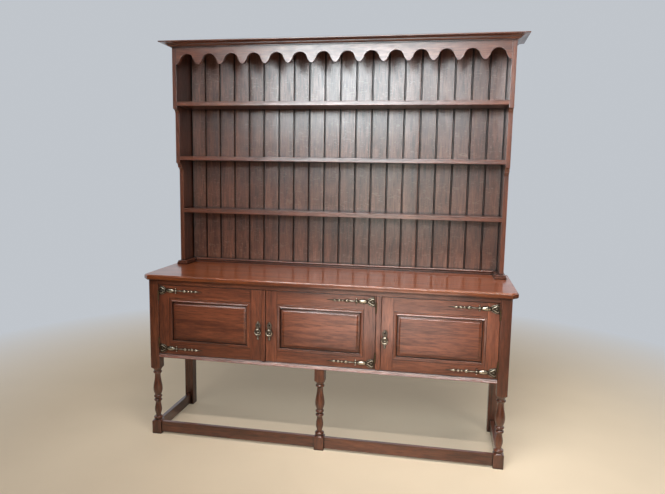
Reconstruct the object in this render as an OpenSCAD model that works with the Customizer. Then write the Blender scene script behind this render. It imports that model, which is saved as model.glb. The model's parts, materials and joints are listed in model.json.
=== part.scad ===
// Welsh dresser: a panelled sideboard base with three doors, and an open plate rack on its worktop.
// Millimetres, +Z up, the front faces -Y, and left and right are those of a viewer in front.
// The origin is on the floor, below the middle of the worktop.

/* [Base cupboard] */
// Width over the outer faces of the legs
base_w = 1750; // [1600:10:1900]
// Depth over the outer faces of the front and back legs
base_d = 447; // [400:1:520]
// Height of the worktop's upper face
worktop_h = 834; // [780:1:900]
// Height of the underside of the cupboard
carcass_z = 410; // [390:1:440]
// Thickness of the end panels
end_panel_t = 14; // [10:1:20]
// Thickness of the cupboard floor
floor_t = 15; // [12:1:18]
// Thickness of the thin back panel
back_panel_t = 8; // [6:1:12]
// Height of the moulded rail below the doors
bottom_rail_h = 19; // [17:1:26]
// Height of the rail above the doors
top_rail_h = 24.5; // [22:0.5:34]
// Depth of the rails from front to back
rail_d = 50; // [40:1:60]
// Width of the post between the middle and right doors
divider_w = 24; // [20:1:36]

/* [Worktop] */
// Thickness of the worktop
top_t = 26; // [22:1:34]
// Overhang past the legs at each end
top_over_side = 25; // [10:1:40]
// Overhang past the legs at the front
top_over_front = 24; // [12:1:40]
// Overhang past the legs at the back
top_over_back = 29; // [10:1:40]
// Length cut off each front corner, along both edges
top_cant = 27; // [10:1:40]
// Step of the moulded edge
top_edge = 3; // [2:0.5:5]

/* [Legs] */
// Side of the square leg section
leg = 48; // [44:1:56]
// Height of the square foot block
foot_h = 68; // [66:1:80]
// Height at which the square post begins again
post_z = 347; // [335:1:360]
// Largest radius of the turning
turn_r = 22.5; // [19:0.5:24]
// Height of the stretchers
stretcher_h = 56; // [40:1:58]
// Thickness of the stretchers
stretcher_t = 20; // [16:1:24]
// Gap between the stretchers and the floor
stretcher_z = 10; // [6:1:10]
// Length of the stretcher tenons
tenon_l = 18; // [12:1:18]

/* [Doors] */
// Thickness of the door frames
door_t = 20; // [19:1:24]
// Gap round each door
door_gap = 1.5; // [1:0.25:2]
// Distance of the door faces behind the leg faces
door_set = 2; // [1:0.5:3]
// Width of the door stiles
stile_w = 56; // [54:1:70]
// Height of the upper door rails
door_rail_top = 65; // [56:1:75]
// Height of the lower door rails
door_rail_bottom = 55; // [54:1:70]
// Width of the moulding round each panel
mould_w = 15; // [10:1:20]
// How far that moulding stands out of the door face
mould_out = 4; // [2:0.5:6]
// Width of the sloping border of the raised panel
bevel_w = 12; // [8:1:16]
// Thickness of the panels at their edge
panel_t = 7; // [6:0.5:8]
// Width of the closing bead on the left door
bead_w = 22; // [16:1:28]
// How far the closing bead stands out
bead_out = 4; // [2:0.5:5]

/* [Plate rack] */
// Width over the side boards
rack_w = 1728; // [1560:2:1740]
// Thickness of the side boards
rack_side_t = 22; // [18:1:26]
// Depth of the side boards above the upper shelf
rack_d_top = 197; // [180:1:215]
// Depth between the upper and the middle shelf
rack_d_mid = 169; // [160:1:178]
// Depth below the middle shelf
rack_d_low = 129; // [115:1:140]
// Height of the rack over the worktop, without its cornice
rack_h = 1147; // [1120:1:1180]
// Height of the upper face of the upper shelf over the worktop
shelf_upper_z = 871; // [860:1:890]
// Height of the upper face of the middle shelf over the worktop
shelf_middle_z = 590; // [560:1:620]
// Height of the upper face of the lower shelf over the worktop
shelf_lower_z = 307; // [280:1:330]
// Thickness of the shelves
shelf_t = 22; // [18:1:26]
// Number of boards in the back
board_count = 20; // [14:1:24]
// Thickness of the back boards
board_t = 12; // [10:1:14]
// Width of the sloping edge of each back board
board_v = 4; // [2:0.5:5]
// Number of arches in the frieze
arch_count = 14; // [10:1:16]
// Radius of the arches
arch_r = 36; // [30:1:37]
// Radius of the lobes between the arches
lobe_r = 19; // [12:1:19]
// Distance from the underside of the cornice to the top of the arches
frieze_band = 35; // [24:1:45]
// Thickness of the frieze board
frieze_t = 18; // [14:1:22]
// Thickness of the top board
rack_top_t = 16; // [12:1:20]
// Height of the cornice
cornice_h = 25; // [24:1:34]
// How far the cornice stands out
cornice_out = 52; // [40:1:60]
// Height of the feet of the rack
rack_foot_h = 20; // [16:1:26]
// Width of the feet of the rack
rack_foot_w = 57; // [48:1:64]
// How far the feet stand out in front of the side boards
rack_foot_out = 19; // [10:1:24]

/* [Ironmongery] */
// Length of the strap plates
strap_l = 230; // [190:1:260]
// Height of the scrolled end of the strap plates
strap_h = 48; // [38:1:50]
// Thickness of the strap plates
strap_t = 2.5; // [2:0.5:3]
// Height of the handle plates
plate_h = 90; // [80:1:100]
// Width of the handle plates
plate_w = 29; // [26:1:29]
// Outer diameter of the ring pulls
ring_d = 33; // [30:1:36]
// Thickness of the ring
ring_t = 4.6; // [4:0.2:5]
// Radius of the hinge knuckles
knuckle_r = 3.5; // [3.3:0.1:4]
// Length of the hinges
hinge_l = 50; // [40:2:60]
// Travel of the lock bolts
lock_travel = 7; // [5:1:8]
// Travel of the inside bolt of the left door
bolt_travel = 8; // [6:1:9]

/* [Hidden] */
// The node to draw, or all of them

$fn = 48;
// Clearance of tenons and tongues in their mortises and grooves, on each side
fit = 0.1;
// Radial clearance of pins that turn or slide in a bore
run = 0.05;
// Hairline between the shoulders of the door rails and the stiles
shoulder = 0.05;
eps = 0.01;

// Front and back faces of the worktop and of the legs
top_d = base_d + top_over_front + top_over_back;
top_front = -top_d / 2;
top_back = top_d / 2;
leg_front = top_front + top_over_front;
leg_back = leg_front + base_d;
half_w = base_w / 2;
inner = half_w - leg;
under_top = worktop_h - top_t;

// Cupboard
rail_tenon = 15;
back_face = leg_back - 30;
back_groove = 6;
panel_set = 10;
side_in = half_w - panel_set - end_panel_t;
floor_z = carcass_z + bottom_rail_h;
back_rail_h = 40;

// Doors
door_w = (2 * inner - divider_w - bead_w - 5 * door_gap) / 3;
door_z = floor_z + door_gap;
door_h = under_top - top_rail_h - door_gap - door_z;
door_face = leg_front + door_set;
left_x = -inner + door_gap;
bead_x = left_x + door_w;
middle_x = bead_x + bead_w + door_gap;
divider_x = middle_x + door_w + door_gap;
right_x = divider_x + divider_w + door_gap;
top_rail_z = under_top - top_rail_h;
opening_w = door_w - 2 * stile_w;
opening_h = door_h - door_rail_top - door_rail_bottom;
opening_z = door_z + door_rail_bottom;
panel_groove = 6;
panel_y = door_face + 7;

// Plate rack
rack_x = rack_w / 2;
rack_in = rack_x - rack_side_t;
rack_y_top = top_back - rack_d_top;
rack_y_mid = top_back - rack_d_mid;
rack_y_low = top_back - rack_d_low;
rack_z = worktop_h + rack_foot_h;
rack_top = worktop_h + rack_h;
cornice_z = rack_top - 2;
board_front = top_back - board_t;
housing = 6;
step_a = rack_y_mid - rack_y_top;
step_b = rack_y_low - rack_y_mid;
step_gap = 15;

// Ironmongery
strap_top_z = door_z + door_h - 27;
strap_bottom_z = door_z + door_rail_bottom / 2;
plate_z = door_z + door_h / 2 - plate_h / 2 - 25;
plate_t = 2;
// Distance from the handle edge of a door to the middle of its plate
plate_in = plate_w / 2 + 3.5;
keyhole_z = plate_z + 0.83 * plate_h;
knuckle_z = plate_z + 0.58 * plate_h;
boss_z = knuckle_z - ring_d / 2 - 1;
ring_y = door_face - plate_t - 6.5;
ring_r = (ring_d - ring_t) / 2;
lug_half = 5;
pin_r = 1.9;
pin_rise = sqrt(ring_r * ring_r - (lug_half + 1) * (lug_half + 1));
hinge_pin_r = 1.5;
leaf_t = 1.6;
leaf_d = 16;
hinge_y = leg_front;
hinge_low = door_z + 30;
hinge_high = door_z + door_h - 30 - hinge_l;
lock_w = 48;
lock_h = 40;
lock_t = 9;

WOOD = "saddlebrown";
DARK = "maroon";
BRASS = "darkgoldenrod";

// ---- shapes used again -------------------------------------------------------------------------

// Points on an arc about (cx, cy), from angle a0 to a1 in n steps
function arc(cx, cy, r, a0, a1, n) =
    [for (i = [0:n]) [cx + r * cos(a0 + (a1 - a0) * i / n), cy + r * sin(a0 + (a1 - a0) * i / n)]];

// Extrudes an outline drawn as (y, z) from x0 over a length along +X
module along_x(x0, length) {
    translate([x0, 0, 0])
        rotate([90, 0, 90])
            linear_extrude(length)
                children();
}

// Extrudes an outline drawn as (x, z) from y0 over a length along +Y
module along_y(y0, length) {
    translate([0, y0 + length, 0])
        rotate([90, 0, 0])
            linear_extrude(length)
                children();
}

// A box given by its two opposite corners
module box(low, high) {
    translate(low)
        cube(high - low);
}

// Draws the children and their mirror image on the other side of the dresser
module both_sides() {
    children();
    mirror([1, 0, 0])
        children();
}

// ---- legs and stretchers -----------------------------------------------------------------------

// Half outline of the turning, as (radius, height)
function turning() = let (r = turn_r, z0 = foot_h, z1 = post_z, h = z1 - z0) concat(
    [[0, z0 - 1], [r - 1, z0 - 1]],
    arc(r - 5, z0 + 9, 6, -60, 60, 6),
    [for (i = [0:10]) let (t = i / 10)
        [r * (0.6 + 0.18 * sin(180 * pow(t, 0.9))), z0 + 20 + 0.255 * h * t]],
    arc(r - 6, z0 + 0.38 * h, 6, -70, 70, 6),
    [[r * 0.72, z0 + 0.42 * h]],
    arc(r - 5, z0 + 0.46 * h, 5, -70, 70, 6),
    [for (i = [0:12]) let (t = i / 12)
        [r * (0.72 + 0.28 * sin(180 * pow(t, 0.62))) - r * 0.06 * t, z0 + (0.49 + 0.38 * t) * h]],
    arc(r - 5, z0 + 0.915 * h, 5.5, -70, 70, 6),
    [[r - 4, z0 + 0.945 * h], [r - 1, z1 - 4], [r, z1 + 1], [0, z1 + 1]]);

// Square foot, turning and square post, centred on x and starting at the leg face
module turned_leg(x, post_top) {
    translate([x, leg_front + leg / 2, 0]) {
        translate([-leg / 2, -leg / 2, 0])
            cube([leg, leg, foot_h]);
        rotate_extrude()
            polygon(turning());
        translate([-leg / 2, -leg / 2, post_z])
            cube([leg, leg, post_top - post_z]);
    }
}

// Tenon of a front stretcher, grown by g all round
module front_tenon(x0, x1, g) {
    box([x0, leg_front + 12 - g, stretcher_z + 10 - g],
        [x1, leg_front + 12 + stretcher_t / 2 + g, stretcher_z + stretcher_h - 10 + g]);
}

// Tenon of the left side stretcher, grown by g all round
module side_tenon(y0, y1, g) {
    box([-half_w + leg / 2 - stretcher_t / 4 - g, y0, stretcher_z + 10 - g],
        [-half_w + leg / 2 + stretcher_t / 4 + g, y1, stretcher_z + stretcher_h - 10 + g]);
}

// Tenons of the two front rails, grown by g all round
module rail_tenons(x0, x1, g) {
    box([x0, leg_front + 10 - g, carcass_z + 4 - g], [x1, leg_front + 38 + g, floor_z - 4 + g]);
    box([x0, leg_front + 10 - g, top_rail_z + 5 - g], [x1, leg_front + 38 + g, under_top - 5 + g]);
}

// Edge of the left end panel, grown by g in thickness
module end_panel_edge(y0, y1, g) {
    box([-half_w + panel_set - g, y0, carcass_z - g],
        [-half_w + panel_set + end_panel_t + g, y1, under_top + 1]);
}

// Recess that takes one hinge: knuckle and leaf, side is +1 for wood on the right of the pin
module hinge_recess(x, side) {
    for (z = [hinge_low, hinge_high]) {
        translate([x, hinge_y, z - 0.5])
            cylinder(r = knuckle_r + 0.4, h = hinge_l + 1);
        translate([x + side * door_gap / 2 + (side > 0 ? -0.3 : -leaf_t), hinge_y, z - 0.1])
            cube([leaf_t + 0.3, leaf_d + 0.1, hinge_l + 0.2]);
    }
}

module corner_leg_cuts() {
    front_tenon(-inner - tenon_l - 0.5, -inner + 1, fit);
    side_tenon(leg_front + leg - tenon_l - 0.5, leg_front + leg + 1, fit);
    rail_tenons(-inner - rail_tenon - 0.5, -inner + 1, fit);
    end_panel_edge(leg_front + leg - 6.5, leg_front + leg + 1, fit);
    hinge_recess(-inner + door_gap / 2, -1);
}

module leg_front_left() {
    color(WOOD)
        difference() {
            turned_leg(-half_w + leg / 2, under_top);
            corner_leg_cuts();
        }
}

module leg_front_right() {
    color(WOOD)
        difference() {
            turned_leg(half_w - leg / 2, under_top);
            mirror([1, 0, 0])
                corner_leg_cuts();
        }
}

module leg_front_middle() {
    color(WOOD)
        difference() {
            union() {
                turned_leg(0, carcass_z);
                translate([0, leg_front + leg / 2, carcass_z - eps])
                    cylinder(r = 9, h = 10 + eps);
            }
            front_tenon(-leg / 2 - 1, -leg / 2 + tenon_l + 0.5, fit);
            front_tenon(leg / 2 - tenon_l - 0.5, leg / 2 + 1, fit);
        }
}

module back_leg() {
    difference() {
        box([-half_w, leg_back - leg, 0], [-inner, leg_back, under_top]);
        side_tenon(leg_back - leg - 1, leg_back - leg + tenon_l + 0.5, fit);
        end_panel_edge(leg_back - leg - 1, leg_back - leg + 6.5, fit);
        box([-inner - back_groove - 0.3, back_face - fit, carcass_z + back_rail_h - 1],
            [-inner + 1, back_face + back_panel_t + fit, under_top + 1]);
        box([-inner - rail_tenon - 0.5, back_face + 4 - fit, carcass_z + 6 - fit],
            [-inner + 1, back_face + 16 + fit, carcass_z + back_rail_h - 6 + fit]);
    }
}

module leg_back_left() {
    color(WOOD)
        back_leg();
}

module leg_back_right() {
    color(WOOD)
        mirror([1, 0, 0])
            back_leg();
}

module front_stretcher() {
    box([-inner, leg_front + 7, stretcher_z],
        [-leg / 2, leg_front + 7 + stretcher_t, stretcher_z + stretcher_h]);
    front_tenon(-inner - tenon_l, -leg / 2 + tenon_l, 0);
}

module stretcher_front_left() {
    color(WOOD)
        front_stretcher();
}

module stretcher_front_right() {
    color(WOOD)
        mirror([1, 0, 0])
            front_stretcher();
}

module side_stretcher() {
    box([-half_w + leg / 2 - stretcher_t / 2, leg_front + leg, stretcher_z],
        [-half_w + leg / 2 + stretcher_t / 2, leg_back - leg, stretcher_z + stretcher_h]);
    side_tenon(leg_front + leg - tenon_l, leg_back - leg + tenon_l, 0);
}

module stretcher_side_left() {
    color(WOOD)
        side_stretcher();
}

module stretcher_side_right() {
    color(WOOD)
        mirror([1, 0, 0])
            side_stretcher();
}

// ---- cupboard ----------------------------------------------------------------------------------

module end_panel() {
    tongue = 6;
    box([-half_w + panel_set, leg_front + leg - tongue, carcass_z],
        [-half_w + panel_set + end_panel_t, leg_back - leg + tongue, under_top]);
}

module end_panel_left() {
    color(WOOD)
        end_panel();
}

module end_panel_right() {
    color(WOOD)
        mirror([1, 0, 0])
            end_panel();
}

module cupboard_back() {
    color(WOOD)
        box([-inner - back_groove, back_face, carcass_z + back_rail_h],
            [inner + back_groove, back_face + back_panel_t, under_top]);
}

module back_rail_lower() {
    color(WOOD) {
        box([-inner, back_face, carcass_z], [inner, back_face + 20, carcass_z + back_rail_h]);
        box([-inner - rail_tenon, back_face + 4, carcass_z + 6],
            [inner + rail_tenon, back_face + 16, carcass_z + back_rail_h - 6]);
    }
}

module cupboard_floor() {
    color(WOOD)
        difference() {
            box([-side_in, leg_front + rail_d, floor_z - floor_t], [side_in, back_face, floor_z]);
            both_sides()
                box([-side_in - 1, leg_back - leg - 0.3, floor_z - floor_t - 1],
                    [-inner + 0.3, back_face + 1, floor_z + 1]);
        }
}

module bottom_rail() {
    nose = bottom_rail_h / 2;
    color(WOOD)
        difference() {
            union() {
                along_x(-inner, 2 * inner)
                    union() {
                        translate([leg_front - 4 + nose, carcass_z + nose])
                            circle(r = nose);
                        translate([leg_front - 4 + nose, carcass_z])
                            square([rail_d + 4 - nose, bottom_rail_h]);
                    }
                box([-inner - rail_tenon, leg_front + 10, carcass_z + 4],
                    [inner + rail_tenon, leg_front + 38, floor_z - 4]);
            }
            translate([0, leg_front + leg / 2, carcass_z - 1])
                cylinder(r = 9 + fit, h = 11 + fit);
            divider_tenons(fit);
        }
}

module top_rail() {
    color(WOOD)
        difference() {
            union() {
                box([-inner, door_face, top_rail_z], [inner, leg_front + rail_d, under_top]);
                box([-inner - rail_tenon, leg_front + 10, top_rail_z + 5],
                    [inner + rail_tenon, leg_front + 38, under_top - 5]);
            }
            divider_tenons(fit);
            translate([bead_x - 20, door_face + door_t + 5, top_rail_z - 1])
                cylinder(r = 3.6, h = 13);
        }
}

// Stub tenons at both ends of the divider post, grown by g all round
module divider_tenons(g) {
    x0 = divider_x + 6 - g;
    x1 = divider_x + divider_w - 6 + g;
    y0 = door_face + 8 - g;
    y1 = door_face + 30 + g;
    box([x0, y0, floor_z - 7 - g], [x1, y1, floor_z + 1]);
    box([x0, y0, top_rail_z - 1], [x1, y1, top_rail_z + 7 + g]);
}

module divider_post() {
    color(WOOD) {
        difference() {
            box([divider_x, door_face, floor_z], [divider_x + divider_w, leg_front + rail_d, top_rail_z]);
            hinge_recess(divider_x - door_gap / 2, 1);
            // Keep for the bolt of the right door's lock
            box([divider_x + divider_w - lock_travel - 3, door_face + door_t + 0.6, keyhole_z - 8.6],
                [divider_x + divider_w + 1, door_face + door_t + 7.4, keyhole_z + 8.6]);
        }
        divider_tenons(0);
    }
}

module partition() {
    color(WOOD)
        box([divider_x + 3, leg_front + rail_d, floor_z], [divider_x + divider_w - 3, back_face, under_top]);
}

// Outline of the worktop, drawn in by s at the ends and at the front
module worktop_outline(s) {
    x = half_w + top_over_side - s;
    y = top_front + s;
    c = top_cant;
    polygon([[-x + c, y], [x - c, y], [x, y + c], [x, top_back], [-x, top_back], [-x, y + c]]);
}

module worktop() {
    color(WOOD)
        translate([0, 0, under_top]) {
            linear_extrude(top_t)
                worktop_outline(top_edge);
            translate([0, 0, top_edge + 1])
                linear_extrude(top_t - 2 * top_edge - 2)
                    worktop_outline(0);
        }
}

// ---- hinges ------------------------------------------------------------------------------------

// Leaf and its knuckles between heights given as shares of the hinge length
module hinge_leaf(x, z, side, shares, bored) {
    lx = x + side * door_gap / 2 + (side > 0 ? 0 : -leaf_t);
    difference() {
        union() {
            translate([lx, hinge_y + knuckle_r + 0.3, z])
                cube([leaf_t, leaf_d - knuckle_r - 0.3, hinge_l]);
            for (s = shares) {
                translate([min(lx, x), hinge_y + 1, z + s[0] * hinge_l + 0.1])
                    cube([max(lx + leaf_t, x) - min(lx, x), knuckle_r, (s[1] - s[0]) * hinge_l - 0.2]);
                translate([lx, hinge_y + knuckle_r, z + s[0] * hinge_l + 0.1])
                    cube([leaf_t, 1, (s[1] - s[0]) * hinge_l - 0.2]);
                translate([x, hinge_y, z + s[0] * hinge_l + 0.1])
                    cylinder(r = knuckle_r, h = (s[1] - s[0]) * hinge_l - 0.2);
            }
        }
        translate([x, hinge_y, z - 1])
            cylinder(r = hinge_pin_r + (bored ? run : 0), h = hinge_l + 2);
    }
}

// Fixed leaf with its pin
module fixed_hinge(x, side) {
    for (z = [hinge_low, hinge_high]) {
        hinge_leaf(x, z, side, [[0, 0.34], [0.66, 1]], false);
        translate([x, hinge_y, z - 0.4])
            cylinder(r = hinge_pin_r, h = hinge_l + 0.8);
    }
}

module hinge_leaves_fixed() {
    color(BRASS) {
        fixed_hinge(-inner + door_gap / 2, -1);
        fixed_hinge(divider_x - door_gap / 2, 1);
        fixed_hinge(inner - door_gap / 2, 1);
    }
}

// Moving leaves of one door, on the pin at x
module moving_leaves(x, side) {
    color(BRASS)
        for (z = [hinge_low, hinge_high])
            hinge_leaf(x, z, side, [[0.34, 0.66]], true);
}

// ---- plate rack --------------------------------------------------------------------------------

// Front part of a side board that is stepped back: a cove below each step
module rack_side_outline() {
    z_a = worktop_h + shelf_upper_z - shelf_t - step_gap;
    z_b = worktop_h + shelf_middle_z - shelf_t - step_gap;
    cove = step_b / 2;
    translate([rack_y_low, rack_z])
        square([rack_d_low, rack_top - rack_z]);
    translate([rack_y_mid, z_b])
        square([step_b + 1, rack_top - z_b]);
    translate([rack_y_top, z_a])
        square([step_a + 1, rack_top - z_a]);
    difference() {
        translate([rack_y_top, z_a - step_a])
            square([step_a + 1, step_a + 1]);
        translate([rack_y_top, z_a - step_a])
            circle(r = step_a);
    }
    difference() {
        translate([rack_y_mid, z_b - cove])
            square([step_b + 1, cove + 1]);
        translate([rack_y_mid, z_b - cove])
            circle(r = cove);
    }
    difference() {
        translate([rack_y_mid + cove, z_b - 2 * cove - 4])
            square([cove + 1, cove + 5]);
        translate([rack_y_mid + cove, z_b - 2 * cove - 4])
            circle(r = cove);
    }
}

module shelf_tongue(front, z, g) {
    box([-rack_in - housing - g, front + 12 - g, worktop_h + z - shelf_t - g],
        [rack_in + housing + g, board_front + g, worktop_h + z + g]);
}

module rack_side() {
    difference() {
        along_x(-rack_x, rack_side_t)
            rack_side_outline();
        shelf_tongue(rack_y_top, shelf_upper_z, fit);
        shelf_tongue(rack_y_mid, shelf_middle_z, fit);
        shelf_tongue(rack_y_low, shelf_lower_z, fit);
    }
}

module rack_side_left() {
    color(WOOD)
        rack_side();
}

module rack_side_right() {
    color(WOOD)
        mirror([1, 0, 0])
            rack_side();
}

// Shelf with a small bead on its front edge, and its ends housed in the side boards
module shelf(front, z) {
    color(WOOD) {
        along_x(-rack_in, 2 * rack_in)
            union() {
                translate([front + 3, worktop_h + z - shelf_t])
                    square([board_front - front - 3, shelf_t]);
                translate([front + 4, worktop_h + z - 5])
                    circle(r = 4);
                translate([front + 1, worktop_h + z - shelf_t + 1])
                    square([4, shelf_t - 11]);
            }
        shelf_tongue(front, z, 0);
    }
}

module shelf_upper() {
    shelf(rack_y_top, shelf_upper_z);
}

module shelf_middle() {
    shelf(rack_y_mid, shelf_middle_z);
}

module shelf_lower() {
    shelf(rack_y_low, shelf_lower_z);
}

// Outline of one tongued board seen from above, its left edge at 0
module board_outline(w) {
    g = 0.1;
    t = board_t;
    v = board_v;
    polygon([[g + v, 0], [w - g - v, 0], [w - g, v], [w - g, t * 0.42], [w + 5, t * 0.42], [w + 5, t * 0.72],
        [w - g, t * 0.72], [w - g, t], [g, t], [g, t * 0.72 + g], [5 + 3 * g, t * 0.72 + g],
        [5 + 3 * g, t * 0.42 - g], [g, t * 0.42 - g], [g, v]]);
}

module back_boards() {
    w = 2 * rack_in / board_count;
    color(DARK)
        intersection() {
            translate([0, 0, worktop_h])
                for (i = [0:board_count - 1])
                    translate([-rack_in + i * w, board_front, 0])
                        linear_extrude(rack_h)
                            board_outline(w);
            box([-rack_in, board_front - 1, worktop_h], [rack_in - 0.05, top_back, rack_top]);
        }
}

module frieze() {
    pitch = 2 * rack_in / arch_count;
    z_top = rack_top;
    z_spring = z_top - frieze_band - arch_r;
    color(WOOD)
        along_y(rack_y_top, frieze_t)
            intersection() {
                union() {
                    difference() {
                        translate([-rack_in, z_spring])
                            square([2 * rack_in, z_top - z_spring]);
                        for (i = [0:arch_count - 1])
                            translate([-rack_in + (i + 0.5) * pitch, z_spring])
                                circle(r = arch_r);
                    }
                    for (i = [0:arch_count])
                        translate([-rack_in + i * pitch, z_spring + 2])
                            circle(r = lobe_r);
                }
                translate([-rack_in, z_spring - 2 * lobe_r])
                    square([2 * rack_in, z_top - z_spring + 2 * lobe_r]);
            }
}

// Section of the cornice as (projection, height)
function cornice_section() = let (p = cornice_out, h = cornice_h) concat(
    [[0, 0], [0.12 * p, 0], [0.12 * p, 0.16 * h]],
    [for (i = [1:5]) [0.15 * p + 0.2 * p * sin(18 * i), (0.16 + 0.28 * (1 - cos(18 * i))) * h]],
    [[0.42 * p, 0.44 * h], [0.42 * p, 0.54 * h]],
    [for (i = [0:5]) [(0.46 + 0.42 * (1 - cos(18 * i))) * p, (0.54 + 0.24 * sin(18 * i)) * h]],
    [[p, 0.78 * h], [p, h], [0, h]]);

module cornice_front() {
    color(WOOD)
        difference() {
            translate([-rack_x - cornice_out, rack_y_top, cornice_z])
                rotate([90, 0, 90])
                    linear_extrude(2 * (rack_x + cornice_out))
                        mirror([1, 0])
                            polygon(cornice_section());
            both_sides()
                translate([-rack_x, rack_y_top, cornice_z - 1])
                    rotate([0, 0, 45])
                        translate([-150, 0, 0])
                            cube([150, 150, cornice_h + 2]);
        }
}

module cornice_returns() {
    color(WOOD)
        both_sides()
            difference() {
                translate([-rack_x, top_back, cornice_z])
                    rotate([90, 0, 0])
                        linear_extrude(rack_d_top + cornice_out)
                            mirror([1, 0])
                                polygon(cornice_section());
                translate([-rack_x - fit, rack_y_top + fit, cornice_z - 1])
                    rotate([0, 0, 45])
                        translate([-150, -150, 0])
                            cube([300, 150, cornice_h + 2]);
            }
}

module rack_top_board() {
    color(WOOD)
        box([-rack_x, rack_y_top, rack_top], [rack_x, top_back, rack_top + rack_top_t]);
}

// Feet of the rack, with a small step along the upper edges
module rack_feet() {
    x1 = -rack_x - 13;
    x0 = x1 + rack_foot_w;
    y0 = rack_y_low - rack_foot_out;
    color(WOOD)
        both_sides()
            difference() {
                union() {
                    box([x1, y0, worktop_h], [x0, top_back, worktop_h + rack_foot_h * 0.6]);
                    box([x1 + 3, y0 + 3, worktop_h], [x0 - 3, top_back, worktop_h + rack_foot_h]);
                }
                box([-rack_in - 0.1, board_front - 0.1, worktop_h - 1], [x0 + 1, top_back + 1, rack_z + 1]);
            }
}

module rack_bottom_rail() {
    x = rack_x + 13 - rack_foot_w;
    color(WOOD)
        along_x(-x + 0.1, 2 * x - 0.2)
            union() {
                translate([board_front - 12, worktop_h])
                    square([12, rack_foot_h - 4]);
                translate([board_front - 6, worktop_h])
                    square([6, rack_foot_h + 2]);
                translate([board_front - 6, worktop_h + rack_foot_h - 4])
                    circle(r = 6);
            }
}

// ---- doors -------------------------------------------------------------------------------------

// Two stiles and two rails, mortised and grooved, of a door whose left edge is at x
module door_frame(x) {
    y0 = door_face;
    y1 = door_face + door_t;
    z1 = door_z + door_h;
    tenon = 32;
    color(WOOD) {
        // Stiles
        for (sx = [x, x + door_w - stile_w])
            difference() {
                box([sx, y0, door_z], [sx + stile_w, y1, z1]);
                panel_slot(x, fit);
                for (r = [[door_z, door_z + door_rail_bottom], [z1 - door_rail_top, z1]])
                    box([x + stile_w - tenon - 0.5, y0 + 7 - fit, r[0] + 12 - fit],
                        [x + door_w - stile_w + tenon + 0.5, y0 + 13 + fit, r[1] - 12 + fit]);
            }
        // Rails
        for (r = [[door_z, door_z + door_rail_bottom], [z1 - door_rail_top, z1]])
            difference() {
                union() {
                    box([x + stile_w + shoulder, y0, r[0]], [x + door_w - stile_w - shoulder, y1, r[1]]);
                    box([x + stile_w - tenon, y0 + 7, r[0] + 12],
                        [x + door_w - stile_w + tenon, y0 + 13, r[1] - 12]);
                }
                panel_slot(x, fit);
            }
    }
}

// Space of the panel's edge in the frame, grown by g
module panel_slot(x, g) {
    box([x + stile_w - panel_groove - g, panel_y - g, opening_z - panel_groove - g],
        [x + door_w - stile_w + panel_groove + g, panel_y + panel_t + g,
            opening_z + opening_h + panel_groove + g]);
}

// Raised and fielded panel: a board with a raised middle whose border slopes
module door_panel(x) {
    m = mould_w + 1.5;
    cx = x + door_w / 2;
    cz = opening_z + opening_h / 2;
    hw = opening_w / 2 - m;
    hh = opening_h / 2 - m;
    rise = panel_y - door_face - 0.5;
    tilt = atan2(rise, bevel_w);
    far = 600;
    color(WOOD) {
        box([x + stile_w - panel_groove, panel_y, opening_z - panel_groove],
            [x + door_w - stile_w + panel_groove, panel_y + panel_t, opening_z + opening_h + panel_groove]);
        difference() {
            box([cx - hw, panel_y - rise, cz - hh], [cx + hw, panel_y + 1, cz + hh]);
            for (s = [-1, 1]) {
                translate([cx + s * hw, panel_y, cz])
                    rotate([0, 0, s * tilt])
                        translate([-far / 2, -far, -far / 2])
                            cube([far, far, far]);
                translate([cx, panel_y, cz + s * hh])
                    rotate([-s * tilt, 0, 0])
                        translate([-far / 2, -far, -far / 2])
                            cube([far, far, far]);
            }
        }
    }
}

// One strip of panel moulding of the given length, lying along +X with its outer edge at z = 0
module mould_strip(length) {
    h = door_face - mould_out;
    along_x(-length / 2, length)
        union() {
            translate([h + mould_out, -mould_w])
                square([panel_y - door_face, mould_w]);
            translate([h + mould_out / 2, -mould_w])
                square([mould_out, mould_w - 1]);
            translate([h + mould_out, -mould_w * 0.52])
                circle(r = mould_out);
        }
}

// Four strips with mitred ends round the opening
module door_moulding(x) {
    cx = x + door_w / 2;
    cz = opening_z + opening_h / 2;
    color(WOOD)
        for (k = [0:3]) {
            half = (k % 2 == 0 ? opening_h : opening_w) / 2;
            length = k % 2 == 0 ? opening_w : opening_h;
            translate([cx, 0, cz])
                rotate([0, 90 * k, 0])
                    translate([0, 0, half])
                        difference() {
                            mould_strip(length);
                            for (s = [-1, 1])
                                translate([s * (length / 2 - 0.05), door_face - 50, 0])
                                    rotate([0, s * 45, 0])
                                        translate([s > 0 ? 0 : -60, 0, -60])
                                            cube([60, 100, 120]);
                        }
        }
}

// Closing bead on the right edge of the left door
module door_left_bead() {
    r = (bead_w * bead_w / 4 + bead_out * bead_out) / (2 * bead_out);
    color(WOOD)
        translate([bead_x, 0, door_z])
            linear_extrude(door_h)
                union() {
                    translate([0, door_face])
                        square([bead_w, door_t]);
                    intersection() {
                        translate([0, door_face - bead_out])
                            square([bead_w, bead_out + 1]);
                        translate([bead_w / 2, door_face - bead_out + r])
                            circle(r = r);
                    }
                }
}

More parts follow.
